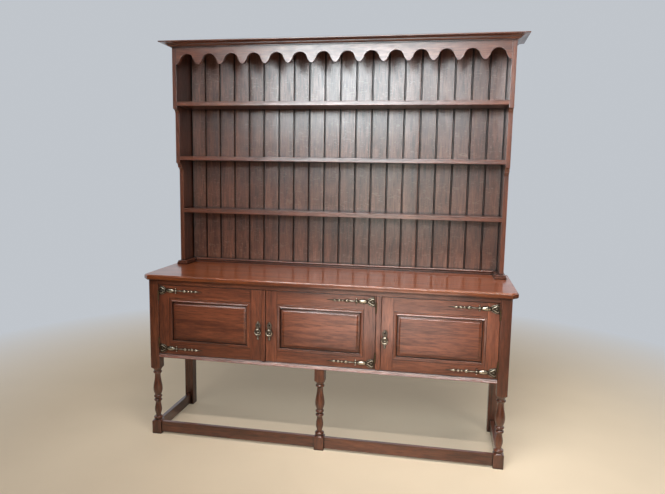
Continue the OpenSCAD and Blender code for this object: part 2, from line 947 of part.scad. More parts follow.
// Outline of a strap plate, its root at 0 and its point towards +X, as (x, z)
module strap_outline() {
    h = strap_h;
    l = strap_l;
    union() {
        // Scrolled end
        translate([10, 0])
            circle(r = h * 0.2);
        for (s = [-1, 1]) {
            translate([15, s * h * 0.27])
                circle(r = h * 0.23);
            translate([27, s * h * 0.2])
                circle(r = h * 0.15);
        }
        translate([8, -h * 0.14])
            square([30, h * 0.28]);
        // Oval boss
        polygon([for (i = [0:23]) [60 + 26 * cos(15 * i), h * 0.28 * sin(15 * i)]]);
        // Cross lobes
        for (s = [-1, 1])
            translate([88, s * h * 0.16])
                circle(r = h * 0.12);
        // Rod, cup, beads and point
        translate([84, -3.2])
            square([l - 84 - 26, 6.4]);
        translate([l - 98, 0])
            circle(r = 6.5);
        translate([l - 88, -h * 0.13])
            square([8, h * 0.26]);
        for (d = [66, 52, 36])
            translate([l - d, 0])
                circle(r = 5.5);
        polygon([[l - 34, -4.5], [l - 12, -2], [l, 0], [l - 12, 2], [l - 34, 4.5]]);
    }
}

// The two strap plates of a door whose hinge edge is at x, pointing in the direction s
module door_straps(x, s) {
    color(BRASS)
        for (z = [strap_top_z, strap_bottom_z])
            translate([x + s * 3, 0, z])
                mirror([s > 0 ? 0 : 1, 0, 0])
                    along_y(door_face - strap_t, strap_t)
                        intersection() {
                            strap_outline();
                            translate([1, -strap_h / 2])
                                square([strap_l, strap_h]);
                        }
}

// Handle plate centred on x: two cartouches, keyhole, boss, and the bored lug of the ring
module handle_plate(x) {
    w = plate_w / 2;
    color(BRASS)
        difference() {
            union() {
                along_y(door_face - plate_t, plate_t)
                    difference() {
                        union() {
                            translate([x, boss_z])
                                circle(r = w);
                            translate([x, keyhole_z - 2])
                                circle(r = w * 0.86);
                            translate([x - w * 0.5, boss_z])
                                square([w, keyhole_z - boss_z]);
                            translate([x, plate_z + plate_h - w * 0.4])
                                circle(r = w * 0.4);
                            translate([x - w * 0.25, plate_z + w * 0.3])
                                square([w * 0.5, boss_z - plate_z - w * 0.3]);
                            translate([x, plate_z + w * 0.45])
                                circle(r = w * 0.45);
                        }
                        translate([x, keyhole_z])
                            circle(r = 2.6);
                        translate([x - 1.2, keyhole_z - 8])
                            square([2.4, 8]);
                    }
                // Boss inside the ring
                translate([x, door_face - plate_t + 0.5, boss_z])
                    rotate([90, 0, 0])
                        cylinder(r1 = 5.5, r2 = 3, h = 3.2);
                // Lug that carries the ring's pin
                translate([x - lug_half + 0.5, ring_y, knuckle_z])
                    rotate([0, 90, 0])
                        cylinder(r = 4, h = 2 * lug_half - 1);
                box([x - lug_half + 0.5, ring_y, knuckle_z - 3],
                    [x + lug_half - 0.5, door_face - plate_t + 0.5, knuckle_z + 3]);
            }
            translate([x - lug_half - 1, ring_y, knuckle_z])
                rotate([0, 90, 0])
                    cylinder(r = pin_r + run, h = 2 * lug_half + 2);
        }
}

// Ring pull: a ring whose upper part is a straight pin through the lug
module ring_pull(x) {
    color(BRASS)
        translate([x, ring_y, knuckle_z - pin_rise]) {
            difference() {
                rotate([90, 0, 0])
                    rotate_extrude()
                        translate([ring_r, 0])
                            circle(d = ring_t, $fn = 24);
                translate([-lug_half - 0.5, -ring_t, 0])
                    cube([2 * lug_half + 1, 2 * ring_t, ring_d]);
            }
            translate([-lug_half - 1.2, 0, pin_rise])
                rotate([0, 90, 0])
                    cylinder(r = pin_r, h = 2 * lug_half + 2.4);
        }
}

// Surface lock on the inner face of a door whose left edge is at x: a case that is open to the left
module lock_case(x) {
    y0 = door_face + door_t;
    color(BRASS)
        difference() {
            box([x + 1, y0, keyhole_z - lock_h / 2], [x + 1 + lock_w, y0 + lock_t, keyhole_z + lock_h / 2]);
            box([x, y0 + 1 - run, keyhole_z - 8 - run], [x + lock_w - 1, y0 + 7 + run, keyhole_z + 8 + run]);
            translate([x + stile_w / 2, y0 - 1, keyhole_z])
                rotate([-90, 0, 0])
                    cylinder(r = 2.6, h = 3);
        }
}

module lock_bolt(x) {
    y0 = door_face + door_t;
    color(BRASS)
        difference() {
            box([x + 1.5, y0 + 1, keyhole_z - 8], [x + 30, y0 + 7, keyhole_z + 8]);
            box([x + 18, y0, keyhole_z - 9], [x + 26, y0 + 8, keyhole_z - 2]);
        }
}

// Bored staples that carry the inside bolt of the left door
module door_left_bolt_staples() {
    x = bead_x - 20;
    y0 = door_face + door_t;
    top = door_z + door_h;
    color(BRASS)
        difference() {
            union() {
                box([x - 9, y0, top - 62], [x + 9, y0 + 1.2, top - 2]);
                for (z = [top - 60, top - 16])
                    box([x - 6, y0 + 1, z], [x + 6, y0 + 10, z + 12]);
            }
            translate([x, y0 + 5, top - 70])
                cylinder(r = 3 + run, h = 80);
        }
}

module door_left_bolt() {
    x = bead_x - 20;
    y0 = door_face + door_t;
    top = door_z + door_h;
    color(BRASS) {
        translate([x, y0 + 5, top - 66])
            cylinder(r = 3, h = 65);
        translate([x, y0 + 5, top - 42])
            cylinder(r = 3.6, h = 10);
        translate([x, y0 + 5, top - 37])
            rotate([-90, 0, 0])
                cylinder(r = 3.5, h = 12);
    }
}

// Frame of a door whose left edge is at x, with its hinge recesses at pin_x
module hung_frame(x, pin_x, side) {
    color(WOOD)
        difference() {
            door_frame(x);
            hinge_recess(pin_x, side);
        }
}

module door_left_frame() {
    hung_frame(left_x, left_x - door_gap / 2, 1);
}

module door_middle_frame() {
    difference() {
        hung_frame(middle_x, middle_x + door_w + door_gap / 2, -1);
        key_bore(middle_x);
    }
}

module door_right_frame() {
    difference() {
        hung_frame(right_x, right_x + door_w + door_gap / 2, -1);
        key_bore(right_x);
    }
}

// Key bore through the stile of a door whose left edge is at x
module key_bore(x) {
    translate([x + plate_in, door_face - 1, keyhole_z])
        rotate([-90, 0, 0])
            cylinder(r = 4, h = door_t + 2);
}

module door_left_panel() {
    door_panel(left_x);
}

module door_middle_panel() {
    door_panel(middle_x);
}

module door_right_panel() {
    door_panel(right_x);
}

module door_left_moulding() {
    door_moulding(left_x);
}

module door_middle_moulding() {
    door_moulding(middle_x);
}

module door_right_moulding() {
    door_moulding(right_x);
}

module door_left_straps() {
    door_straps(left_x, 1);
}

module door_middle_straps() {
    door_straps(middle_x + door_w, -1);
}

module door_right_straps() {
    door_straps(right_x + door_w, -1);
}

module door_left_hinge_leaves() {
    moving_leaves(left_x - door_gap / 2, 1);
}

module door_middle_hinge_leaves() {
    moving_leaves(middle_x + door_w + door_gap / 2, -1);
}

module door_right_hinge_leaves() {
    moving_leaves(right_x + door_w + door_gap / 2, -1);
}

module door_left_handle_plate() {
    handle_plate(bead_x - plate_in + 2);
}

module door_middle_handle_plate() {
    handle_plate(middle_x + plate_in);
}

module door_right_handle_plate() {
    handle_plate(right_x + plate_in);
}

module door_left_ring() {
    ring_pull(bead_x - plate_in + 2);
}

module door_middle_ring() {
    ring_pull(middle_x + plate_in);
}

module door_right_ring() {
    ring_pull(right_x + plate_in);
}

module door_middle_lock() {
    lock_case(middle_x);
}

module door_right_lock() {
    lock_case(right_x);
}

module door_middle_lock_bolt() {
    lock_bolt(middle_x);
}

module door_right_lock_bolt() {
    lock_bolt(right_x);
}

// ---- drawing -----------------------------------------------------------------------------------

leg_front_left();
leg_front_middle();
leg_front_right();
leg_back_left();
leg_back_right();
stretcher_front_left();
stretcher_front_right();
stretcher_side_left();
stretcher_side_right();
end_panel_left();
end_panel_right();
cupboard_back();
back_rail_lower();
cupboard_floor();
bottom_rail();
top_rail();
divider_post();
partition();
worktop();
hinge_leaves_fixed();
rack_side_left();
rack_side_right();
shelf_upper();
shelf_middle();
shelf_lower();
back_boards();
frieze();
cornice_front();
cornice_returns();
rack_top_board();
rack_feet();
rack_bottom_rail();
door_left_frame();
door_left_panel();
door_left_moulding();
door_left_bead();
door_left_straps();
door_left_hinge_leaves();
door_left_handle_plate();
door_left_ring();
door_left_bolt_staples();
door_left_bolt();
door_middle_frame();
door_middle_panel();
door_middle_moulding();
door_middle_straps();
door_middle_hinge_leaves();
door_middle_handle_plate();
door_middle_ring();
door_middle_lock();
door_middle_lock_bolt();
door_right_frame();
door_right_panel();
door_right_moulding();
door_right_straps();
door_right_hinge_leaves();
door_right_handle_plate();
door_right_ring();
door_right_lock();
door_right_lock_bolt();
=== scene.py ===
"""Visual model of a Welsh dresser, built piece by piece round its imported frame.

The classes hold sizes in millimetres and the meshes are in metres. +X is to the right as seen from
the front, the front faces -Y, +Z is up, and the origin is on the floor below the worktop's middle.
"""

from __future__ import annotations

import functools
import json
import logging
import math
import random
import sys
from dataclasses import dataclass, field
from enum import Enum
from typing import Any, Iterable, Sequence

import bmesh
import bpy
from mathutils import Matrix, Vector

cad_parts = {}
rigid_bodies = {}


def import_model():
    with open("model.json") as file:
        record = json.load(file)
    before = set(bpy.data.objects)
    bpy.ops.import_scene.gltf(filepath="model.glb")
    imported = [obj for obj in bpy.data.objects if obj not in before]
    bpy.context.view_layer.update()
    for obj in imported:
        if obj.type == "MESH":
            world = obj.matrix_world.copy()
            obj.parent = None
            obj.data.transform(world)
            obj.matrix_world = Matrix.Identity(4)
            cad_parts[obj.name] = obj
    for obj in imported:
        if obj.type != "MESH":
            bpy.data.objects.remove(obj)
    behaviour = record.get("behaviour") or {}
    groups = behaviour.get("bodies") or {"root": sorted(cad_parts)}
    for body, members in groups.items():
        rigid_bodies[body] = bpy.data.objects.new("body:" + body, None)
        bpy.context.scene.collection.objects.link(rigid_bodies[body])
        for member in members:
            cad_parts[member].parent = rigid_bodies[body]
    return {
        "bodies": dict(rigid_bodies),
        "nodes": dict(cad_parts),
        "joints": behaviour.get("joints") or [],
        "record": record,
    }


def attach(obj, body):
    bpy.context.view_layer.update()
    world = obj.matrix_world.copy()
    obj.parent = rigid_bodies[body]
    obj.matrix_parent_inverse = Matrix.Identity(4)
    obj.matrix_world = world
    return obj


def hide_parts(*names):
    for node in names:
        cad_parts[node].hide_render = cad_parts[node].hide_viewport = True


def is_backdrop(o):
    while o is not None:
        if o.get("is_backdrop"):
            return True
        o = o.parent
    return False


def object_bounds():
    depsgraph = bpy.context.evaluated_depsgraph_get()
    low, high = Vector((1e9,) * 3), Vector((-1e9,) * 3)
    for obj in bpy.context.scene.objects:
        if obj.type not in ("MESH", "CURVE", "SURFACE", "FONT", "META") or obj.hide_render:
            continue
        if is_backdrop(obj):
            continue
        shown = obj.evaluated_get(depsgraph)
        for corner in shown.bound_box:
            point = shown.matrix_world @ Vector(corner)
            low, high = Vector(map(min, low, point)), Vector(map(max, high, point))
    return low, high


LOG = logging.getLogger("dresser")
MM = 0.001
SHARP_ANGLE = math.radians(36.0)
SIDES = ((-1, "left"), (1, "right"))

Point2 = tuple[float, float]
Point3 = tuple[float, float, float]
Four = tuple[float, float, float, float]
Colour = tuple[float, float, float]
Stops = Sequence[tuple[float, Colour | float]]
Shape = bmesh.types.BMesh
Socket = bpy.types.NodeSocket


class Slot(Enum):
    """Material slots of the record."""

    STAINED_OAK = "stained_oak"
    WORKTOP_OAK = "worktop_oak"
    BACK_OAK = "back_oak"
    AGED_BRASS = "aged_brass"


class Grain(Enum):
    """Axis that the fibres of a board run along, with the axes in the order along, across, through."""

    X = (0, 1, 2)
    Y = (1, 0, 2)
    Z = (2, 0, 1)


class Hang(Enum):
    """Edge of a door that its hinges are on, as the direction from there to the handle."""

    LEFT = 1
    RIGHT = -1


# ---- shapes -------------------------------------------------------------------------------------

# Share of an edge's rounding that is taken in at each step, with the share that is taken back.
ROUNDED_EDGE = ((0.0, 1.0), (0.3, 0.3), (1.0, 0.0))
# Share of a quarter circle that a dome rises through, so that it ends in a small flat.
DOME_RISE = 0.97
# How far a cutting tool starts outside what it cuts.
OVERRUN = 1.0


def turns(sides: int) -> list[float]:
    """Gives the angles of a round section's corners."""
    return [2 * math.pi * i / sides for i in range(sides)]


def lofted(loops: Sequence[Sequence[Point3]], ring: bool = False) -> Shape:
    """Skins a row of loops that have the same number of points.

    Args:
        loops: The loops, from one end to the other.
        ring: Whether the last loop joins the first one again; otherwise both ends are closed.

    Returns:
        The skinned shape.
    """
    shape = bmesh.new()
    rows = [[shape.verts.new(point) for point in loop] for loop in loops]
    pairs = list(zip(rows, rows[1:]))
    if ring:
        pairs.append((rows[-1], rows[0]))
    for low, high in pairs:
        for k, vert in enumerate(low):
            beside = (k + 1) % len(low)
            shape.faces.new((vert, low[beside], high[beside], high[k]))
    if not ring:
        shape.faces.new(rows[0][::-1])
        shape.faces.new(rows[-1])
    bmesh.ops.recalc_face_normals(shape, faces=shape.faces)
    return shape


def eased(shape: Shape, edges: Sequence[bmesh.types.BMEdge], ease: float, clamp: bool) -> Shape:
    """Rounds edges of a shape.

    Args:
        shape: The shape.
        edges: The edges that are rounded.
        ease: How far each edge is taken down; 0 leaves the shape as it is.
        clamp: Whether the roundings are kept from running into each other.

    Returns:
        The same shape.
    """
    if ease:
        bmesh.ops.bevel(shape, geom=edges, offset=ease, offset_type="OFFSET", segments=2,
                        profile=0.5, affect="EDGES", clamp_overlap=clamp)
    return shape


def plank(low: Point3, high: Point3, ease: float = 0.8) -> Shape:
    """Planes a board with eased edges.

    Args:
        low: Lowest corner.
        high: Highest corner.
        ease: How far each edge is taken down.

    Returns:
        The board.
    """
    shape = bmesh.new()
    middle = (Vector(low) + Vector(high)) / 2
    size = Vector(high) - Vector(low)
    bmesh.ops.create_cube(shape, size=1.0, matrix=Matrix.LocRotScale(middle, None, size))
    return eased(shape, shape.edges[:], ease, True)


def fronted(low: Point3, high: Point3, edges: Four, depth: float = 1.5) -> Shape:
    """Planes a board whose front edges are each rounded by their own amount.

    Args:
        low: Lowest corner, at the front.
        high: Highest corner, at the back.
        edges: How far the left, right, lower and upper edge are taken in.
        depth: How far all of them are taken back.

    Returns:
        The board.
    """
    loops = []
    for share, y in ((0.0, high[1]), *((share, low[1] + back * depth) for share, back in ROUNDED_EDGE)):
        x0, x1 = low[0] + edges[0] * share, high[0] - edges[1] * share
        z0, z1 = low[2] + edges[2] * share, high[2] - edges[3] * share
        loops.append([(x0, y, z0), (x1, y, z0), (x1, y, z1), (x0, y, z1)])
    return lofted(loops)


def sawn(outline: Sequence[Point2], thickness: float, ease: float = 0.6) -> Shape:
    """Saws an outline in x and y out of a board that lies on z = 0, and eases its rims.

    Args:
        outline: Corners of the outline, in order.
        thickness: Thickness of the board.
        ease: How far the rims are taken down.

    Returns:
        The sawn board.
    """
    shape = lofted([[(x, y, z) for x, y in outline] for z in (0.0, thickness)])
    rims = [e for e in shape.edges if abs(e.verts[0].co.z - e.verts[1].co.z) < 1e-6]
    return eased(shape, rims, ease, False)


def moulded(section: Sequence[Point2], start: Point3, end: Point3,
            start_out: Point3, end_out: Point3, up: Point3) -> Shape:
    """Runs a moulding between two ends, which a slanting out direction mitres.

    Args:
        section: Corners of the section, as distances out and up.
        start: Place of the section's origin at one end.
        end: Place of the section's origin at the other end.
        start_out: What one unit of out is at the start.
        end_out: What one unit of out is at the end.
        up: What one unit of up is.

    Returns:
        The length of moulding.
    """
    loops = []
    for place, out in ((start, start_out), (end, end_out)):
        loops.append([tuple(Vector(place) + Vector(out) * a + Vector(up) * b) for a, b in section])
    return lofted(loops)


def squared(section: Sequence[Point2], half_length: float) -> Shape:
    """Runs a section in depth and height along x, cut square at both ends."""
    return moulded(section, (-half_length, 0, 0), (half_length, 0, 0), (0, 1, 0), (0, 1, 0), (0, 0, 1))


def tube(path: Sequence[Point3], radii: Sequence[float], depth: float = 1.0,
         sides: int = 10, ring: bool = False) -> Shape:
    """Draws a round bar along a path that lies flat in x and y.

    Args:
        path: Points that the middle of the bar goes through.
        radii: Radius at each point.
        depth: Share of the radius that the bar has along z.
        sides: Number of sides.
        ring: Whether the bar closes on itself.

    Returns:
        The bar.
    """
    loops = []
    count = len(path)
    for k, point in enumerate(path):
        ahead = path[(k + 1) % count] if ring or k + 1 < count else path[k]
        behind = path[k - 1] if ring or k else path[k]
        along = Vector(ahead) - Vector(behind)
        across = Vector((-along.y, along.x, 0.0)).normalized()
        loop = []
        for turn in turns(sides):
            offset = across * math.cos(turn) * radii[k]
            offset.z = math.sin(turn) * radii[k] * depth
            loop.append(tuple(Vector(point) + offset))
        loops.append(loop)
    return lofted(loops, ring)


def spun(outline: Sequence[Point2], depth: float = 1.0, sides: int = 14) -> Shape:
    """Turns an outline of places and radii about the x axis, flattened along z to a share of them."""
    return lofted([[(x, radius * math.cos(t), radius * depth * math.sin(t)) for t in turns(sides)]
                   for x, radius in outline])


def dome(centre: Point2, size: Point2, height: float, rows: int = 6, sides: int = 24) -> Shape:
    """Raises an oval dome from z = 0.

    Args:
        centre: Middle of the dome.
        size: Half its length and half its width.
        height: Its height.
        rows: Number of steps from the foot to the top.
        sides: Number of sides.

    Returns:
        The dome.
    """
    loops = []
    for row in range(rows + 1):
        slope = DOME_RISE * row / rows * math.pi / 2
        loops.append([(centre[0] + size[0] * math.cos(slope) * math.cos(t),
                       centre[1] + size[1] * math.cos(slope) * math.sin(t),
                       height * math.sin(slope)) for t in turns(sides)])
    return lofted(loops)


def drilled(centre: Point3, radius: float, depth: float, axis: Grain, sides: int = 24) -> Shape:
    """Makes the bore that a bit leaves, as a shape to cut with.

    Args:
        centre: Middle of the bore's first end.
        radius: Radius of the bore.
        depth: Length of the bore.
        axis: Axis that the bore runs along.
        sides: Number of sides.

    Returns:
        The round bore.
    """
    along, across, through = axis.value
    loops = []
    for step in (0.0, depth):
        loop = []
        for turn in turns(sides):
            point = list(centre)
            point[along] += step
            point[across] += radius * math.cos(turn)
            point[through] += radius * math.sin(turn)
            loop.append(tuple(point))
        loops.append(loop)
    return lofted(loops)


def carved(shape: Shape, tools: Iterable[Shape]) -> Shape:
    """Cuts other shapes out of a shape.

    Args:
        shape: What is cut, which is used up.
        tools: What is cut away, which is used up too.

    Returns:
        The shape that is left.
    """
    loose = []
    for part in (shape, *tools):
        mesh = bpy.data.meshes.new("offcut")
        part.to_mesh(mesh)
        part.free()
        blank = bpy.data.objects.new("offcut", mesh)
        bpy.context.scene.collection.objects.link(blank)
        loose.append(blank)
    for tool in loose[1:]:
        cut = loose[0].modifiers.new("cut", "BOOLEAN")
        cut.object = tool
        cut.operation = "DIFFERENCE"
        cut.solver = "EXACT"
    bpy.context.view_layer.update()
    left = bpy.data.meshes.new_from_object(
        loose[0].evaluated_get(bpy.context.evaluated_depsgraph_get()))
    result = bmesh.new()
    result.from_mesh(left)
    bpy.data.meshes.remove(left)
    for blank in loose:
        mesh = blank.data
        bpy.data.objects.remove(blank)
        bpy.data.meshes.remove(mesh)
    return result


def placed(shape: Shape, matrix: Matrix) -> Shape:
    """Moves a shape and returns it."""
    shape.transform(matrix)
    return shape


def facing_front(x: float, y: float, z: float, flip: int = 1) -> Matrix:
    """Gives the move that stands a flat shape on the front face y, end for end where flip is -1."""
    stand = Matrix(((1, 0, 0, 0), (0, 0, -1, 0), (0, 1, 0, 0), (0, 0, 0, 1)))
    return Matrix.Translation((x, y, z)) @ stand @ Matrix.Diagonal((flip, 1, 1, 1))


def arc(centre: Point2, radius: float, start: float, end: float, steps: int) -> list[Point2]:
    """Gives points on an arc from one angle in degrees to another, both ends included."""
    angles = [math.radians(start + (end - start) * k / steps) for k in range(steps + 1)]
    return [(centre[0] + radius * math.cos(t), centre[1] + radius * math.sin(t)) for t in angles]


class Workpiece:
    """One piece of the dresser on the bench: shapes in millimetres, each with the run of its grain."""

    def __init__(self, name: str) -> None:
        """Starts an empty piece.

        Args:
            name: Its name, which also seeds where its boards were cut from the log.
        """
        self.name = name
        self.points: list[Vector] = []
        self.fibres: list[float] = []
        self.faces: list[list[int]] = []
        self.chance = random.Random(name)

    def add(self, shape: Shape, grain: Grain = Grain.X) -> None:
        """Joins a shape to the piece.

        Args:
            shape: The shape, which is used up.
            grain: Axis that its fibres run along.
        """
        shift = [self.chance.uniform(0.0, 9.0) for _ in range(3)]
        first = len(self.points)
        bmesh.ops.recalc_face_normals(shape, faces=shape.faces)
        shape.verts.index_update()
        for vert in shape.verts:
            point = vert.co * MM
            self.points.append(point)
            self.fibres += [point[axis] + shift[k] for k, axis in enumerate(grain.value)]
        self.faces += [[first + vert.index for vert in face.verts] for face in shape.faces]
        shape.free()

    def to_object(self) -> bpy.types.Object:
        """Turns the piece into a Blender object.

        Returns:
            The object, with its fibre direction stored and its shading set by angle.
        """
        mesh = bpy.data.meshes.new(self.name)
        mesh.from_pydata(self.points, [], self.faces)
        mesh.attributes.new("fibre", "FLOAT_VECTOR", "POINT").data.foreach_set("vector", self.fibres)
        mesh.polygons.foreach_set("use_smooth", [True] * len(mesh.polygons))
        mesh.set_sharp_from_angle(angle=SHARP_ANGLE)
        mesh.update()
        made = bpy.data.objects.new(self.name, mesh)
        bpy.context.scene.collection.objects.link(made)
        weighted = made.modifiers.new("flat faces stay flat", "WEIGHTED_NORMAL")
        weighted.keep_sharp = True
        return made


# ---- finishes -----------------------------------------------------------------------------------

# Scales of the oak's figure along, across and through the fibres.
BAND_SCALE = (2.6, 34.0, 34.0)
STREAK_SCALE = (16.0, 150.0, 150.0)
PORE_SCALE = (60.0, 1300.0, 1300.0)
TONE_SCALE = (0.8, 2.0, 2.0)
RAY_SCALE = (70.0, 24.0, 24.0)
# How noise shades a finish: places in the noise, each with the share of the colour there.
STREAK_SHADES = ((0.34, 0.5), (0.5, 1.0), (0.66, 1.45))
PORE_SHADES = ((0.33, 0.6), (0.46, 1.0))
TONE_SHADES = ((0.3, 0.84), (0.7, 1.16))
SPECK_SHADES = ((0.35, 0.6), (0.55, 1.0))
# Corners and grooves closer than the reach, in metres, are darkened: on the oak as old wax and dirt together
# with painted shade, on the brass as patina.
OAK_DIRT_AND_SHADE_REACH = 0.014
OAK_DIRT_AND_SHADE_STOPS = ((0.45, 0.03), (0.93, 1.0))
BRASS_REACH = 0.007
BRASS_CORNER_SHADES = ((0.3, 0.03), (0.75, 1.0))
# Colour of the ray flecks.
RAY_COLOUR = (0.55, 0.42, 0.33)
# Height of the relief, in metres, and how much rougher and smoother the streaks are than the rest.
OAK_RELIEF = 0.0004
BRASS_RELIEF = 0.0003
STREAK_ROUGHNESS = 0.06


class Recipe:
    """A material's node tree, built one step at a time."""

    def __init__(self, label: str, world: bpy.types.World | None = None) -> None:
        """Starts an empty material, or empties a world.

        Args:
            label: Name of the material.
            world: The world that takes the recipe instead of a material.
        """
        self.material = world or bpy.data.materials.new(label)
        self.material.use_nodes = True
        self.tree = self.material.node_tree
        self.tree.nodes.clear()

    def step(self, kind: str, inputs: dict[int | str, Any] | None = None,
             **settings: Any) -> bpy.types.Node:
        """Adds a node.

        Args:
            kind: Blender's name for the node.
            inputs: Values or sockets for its inputs.
            **settings: Properties of the node.

        Returns:
            The node.
        """
        node = self.tree.nodes.new(kind)
        for key, value in settings.items():
            setattr(node, key, value)
        for key, value in (inputs or {}).items():
            if isinstance(value, bpy.types.NodeSocket):
                self.tree.links.new(value, node.inputs[key])
            else:
                node.inputs[key].default_value = value
        return node

    def place(self) -> Socket:
        """Gives the place on the piece."""
        return self.step("ShaderNodeTexCoord").outputs["Object"]

    def part(self, vector: Socket, axis: int) -> Socket:
        """Gives the number that a vector has along an axis."""
        return self.step("ShaderNodeSeparateXYZ", {0: vector}).outputs[axis]

    def fibre(self, grain: Grain | None) -> Socket:
        """Gives the place in the timber, as along, across and through.

        Args:
            grain: Axis of the fibres, or None where the mesh has them marked.

        Returns:
            The socket.
        """
        if grain is None:
            return self.step("ShaderNodeAttribute", attribute_name="fibre").outputs["Vector"]
        split = self.step("ShaderNodeSeparateXYZ", {0: self.place()})
        along, across, through = (split.outputs[axis] for axis in grain.value)
        return self.step("ShaderNodeCombineXYZ", {0: along, 1: across, 2: through}).outputs[0]

    def stretched(self, place: Socket, scale: Point3) -> Socket:
        """Scales a place by a vector."""
        return self.step("ShaderNodeVectorMath", {0: place, 1: scale}, operation="MULTIPLY").outputs[0]

    def noise(self, place: Socket, scale: float = 1.0, detail: float = 2.0,
              rough: float = 0.5, twist: float = 0.0) -> Socket:
        """Gives noise from 0 to 1 at a place, with octaves of detail as rough as given, and twisted."""
        values = {"Vector": place, "Scale": scale, "Detail": detail, "Roughness": rough,
                  "Distortion": twist}
        return self.step("ShaderNodeTexNoise", values).outputs[0]

    def ramp(self, factor: Socket, stops: Stops) -> Socket:
        """Maps a factor to colours.

        Args:
            factor: The factor.
            stops: Places from 0 to 1, each with a colour or a grey value.

        Returns:
            The colour.
        """
        node = self.step("ShaderNodeValToRGB", {0: factor})
        points = node.color_ramp.elements
        while len(points) < len(stops):
            points.new(0.5)
        for point, (place, value) in zip(points, stops):
            point.position = place
            grey = (value, value, value) if isinstance(value, float) else value
            point.color = (*grey, 1.0)
        return node.outputs[0]

    def blend(self, factor: Socket | float, first: Socket | Colour, second: Socket | Colour,
              how: str = "MIX") -> Socket:
        """Mixes two colours.

        Args:
            factor: Share of the second.
            first: A colour.
            second: Another colour.
            how: Blender's name for the way they mix.

        Returns:
            The mixed colour.
        """
        values: dict[int | str, Any] = {0: factor}
        for index, colour in ((6, first), (7, second)):
            values[index] = colour if isinstance(colour, bpy.types.NodeSocket) else (*colour, 1.0)
        return self.step("ShaderNodeMix", values, data_type="RGBA", blend_type=how).outputs[2]

    def shaded(self, colour: Socket | Colour, factor: Socket, shades: Stops,
               share: float = 1.0) -> Socket:
        """Makes a colour darker or lighter by the shades of a factor, of which it uses a share."""
        return self.blend(share, colour, self.ramp(factor, shades), "MULTIPLY")

    def reckon(self, how: str, first: Socket | float, second: Socket | float = 0.0,
               third: Socket | float = 0.0) -> Socket:
        """Adds a step of arithmetic, for which how is Blender's name."""
        return self.step("ShaderNodeMath", {0: first, 1: second, 2: third}, operation=how).outputs[0]

    def product(self, first: Socket, *others: Socket | float) -> Socket:
        """Multiplies numbers."""
        return functools.reduce(lambda left, right: self.reckon("MULTIPLY", left, right), others, first)

    def spread(self, value: Socket, low: float, high: float, from_low: float = 0.0,
               from_high: float = 1.0) -> Socket:
        """Maps a number from the range of the last two numbers to the range from low to high."""
        values = {0: value, 1: from_low, 2: from_high, 3: low, 4: high}
        return self.step("ShaderNodeMapRange", values).outputs[0]

    def openness(self, reach: float) -> Socket:
        """Gives 1 on open surfaces and less in corners and grooves closer than reach."""
        return self.step("ShaderNodeAmbientOcclusion", {"Distance": reach}, samples=6).outputs["AO"]

    def bump(self, height: Socket, strength: float, distance: float) -> Socket:
        """Gives the direction of a surface that a height of 1 raises by a distance in metres."""
        values = {"Height": height, "Strength": strength, "Distance": distance}
        return self.step("ShaderNodeBump", values).outputs[0]

    def coated(self, inputs: dict[str, Any]) -> bpy.types.Material:
        """Ends the recipe with its surface.

        Args:
            inputs: Values or sockets for the surface shader.

        Returns:
            The finished material.
        """
        surface = self.step("ShaderNodeBsdfPrincipled", inputs)
        self.step("ShaderNodeOutputMaterial", {0: surface.outputs[0]})
        return self.material


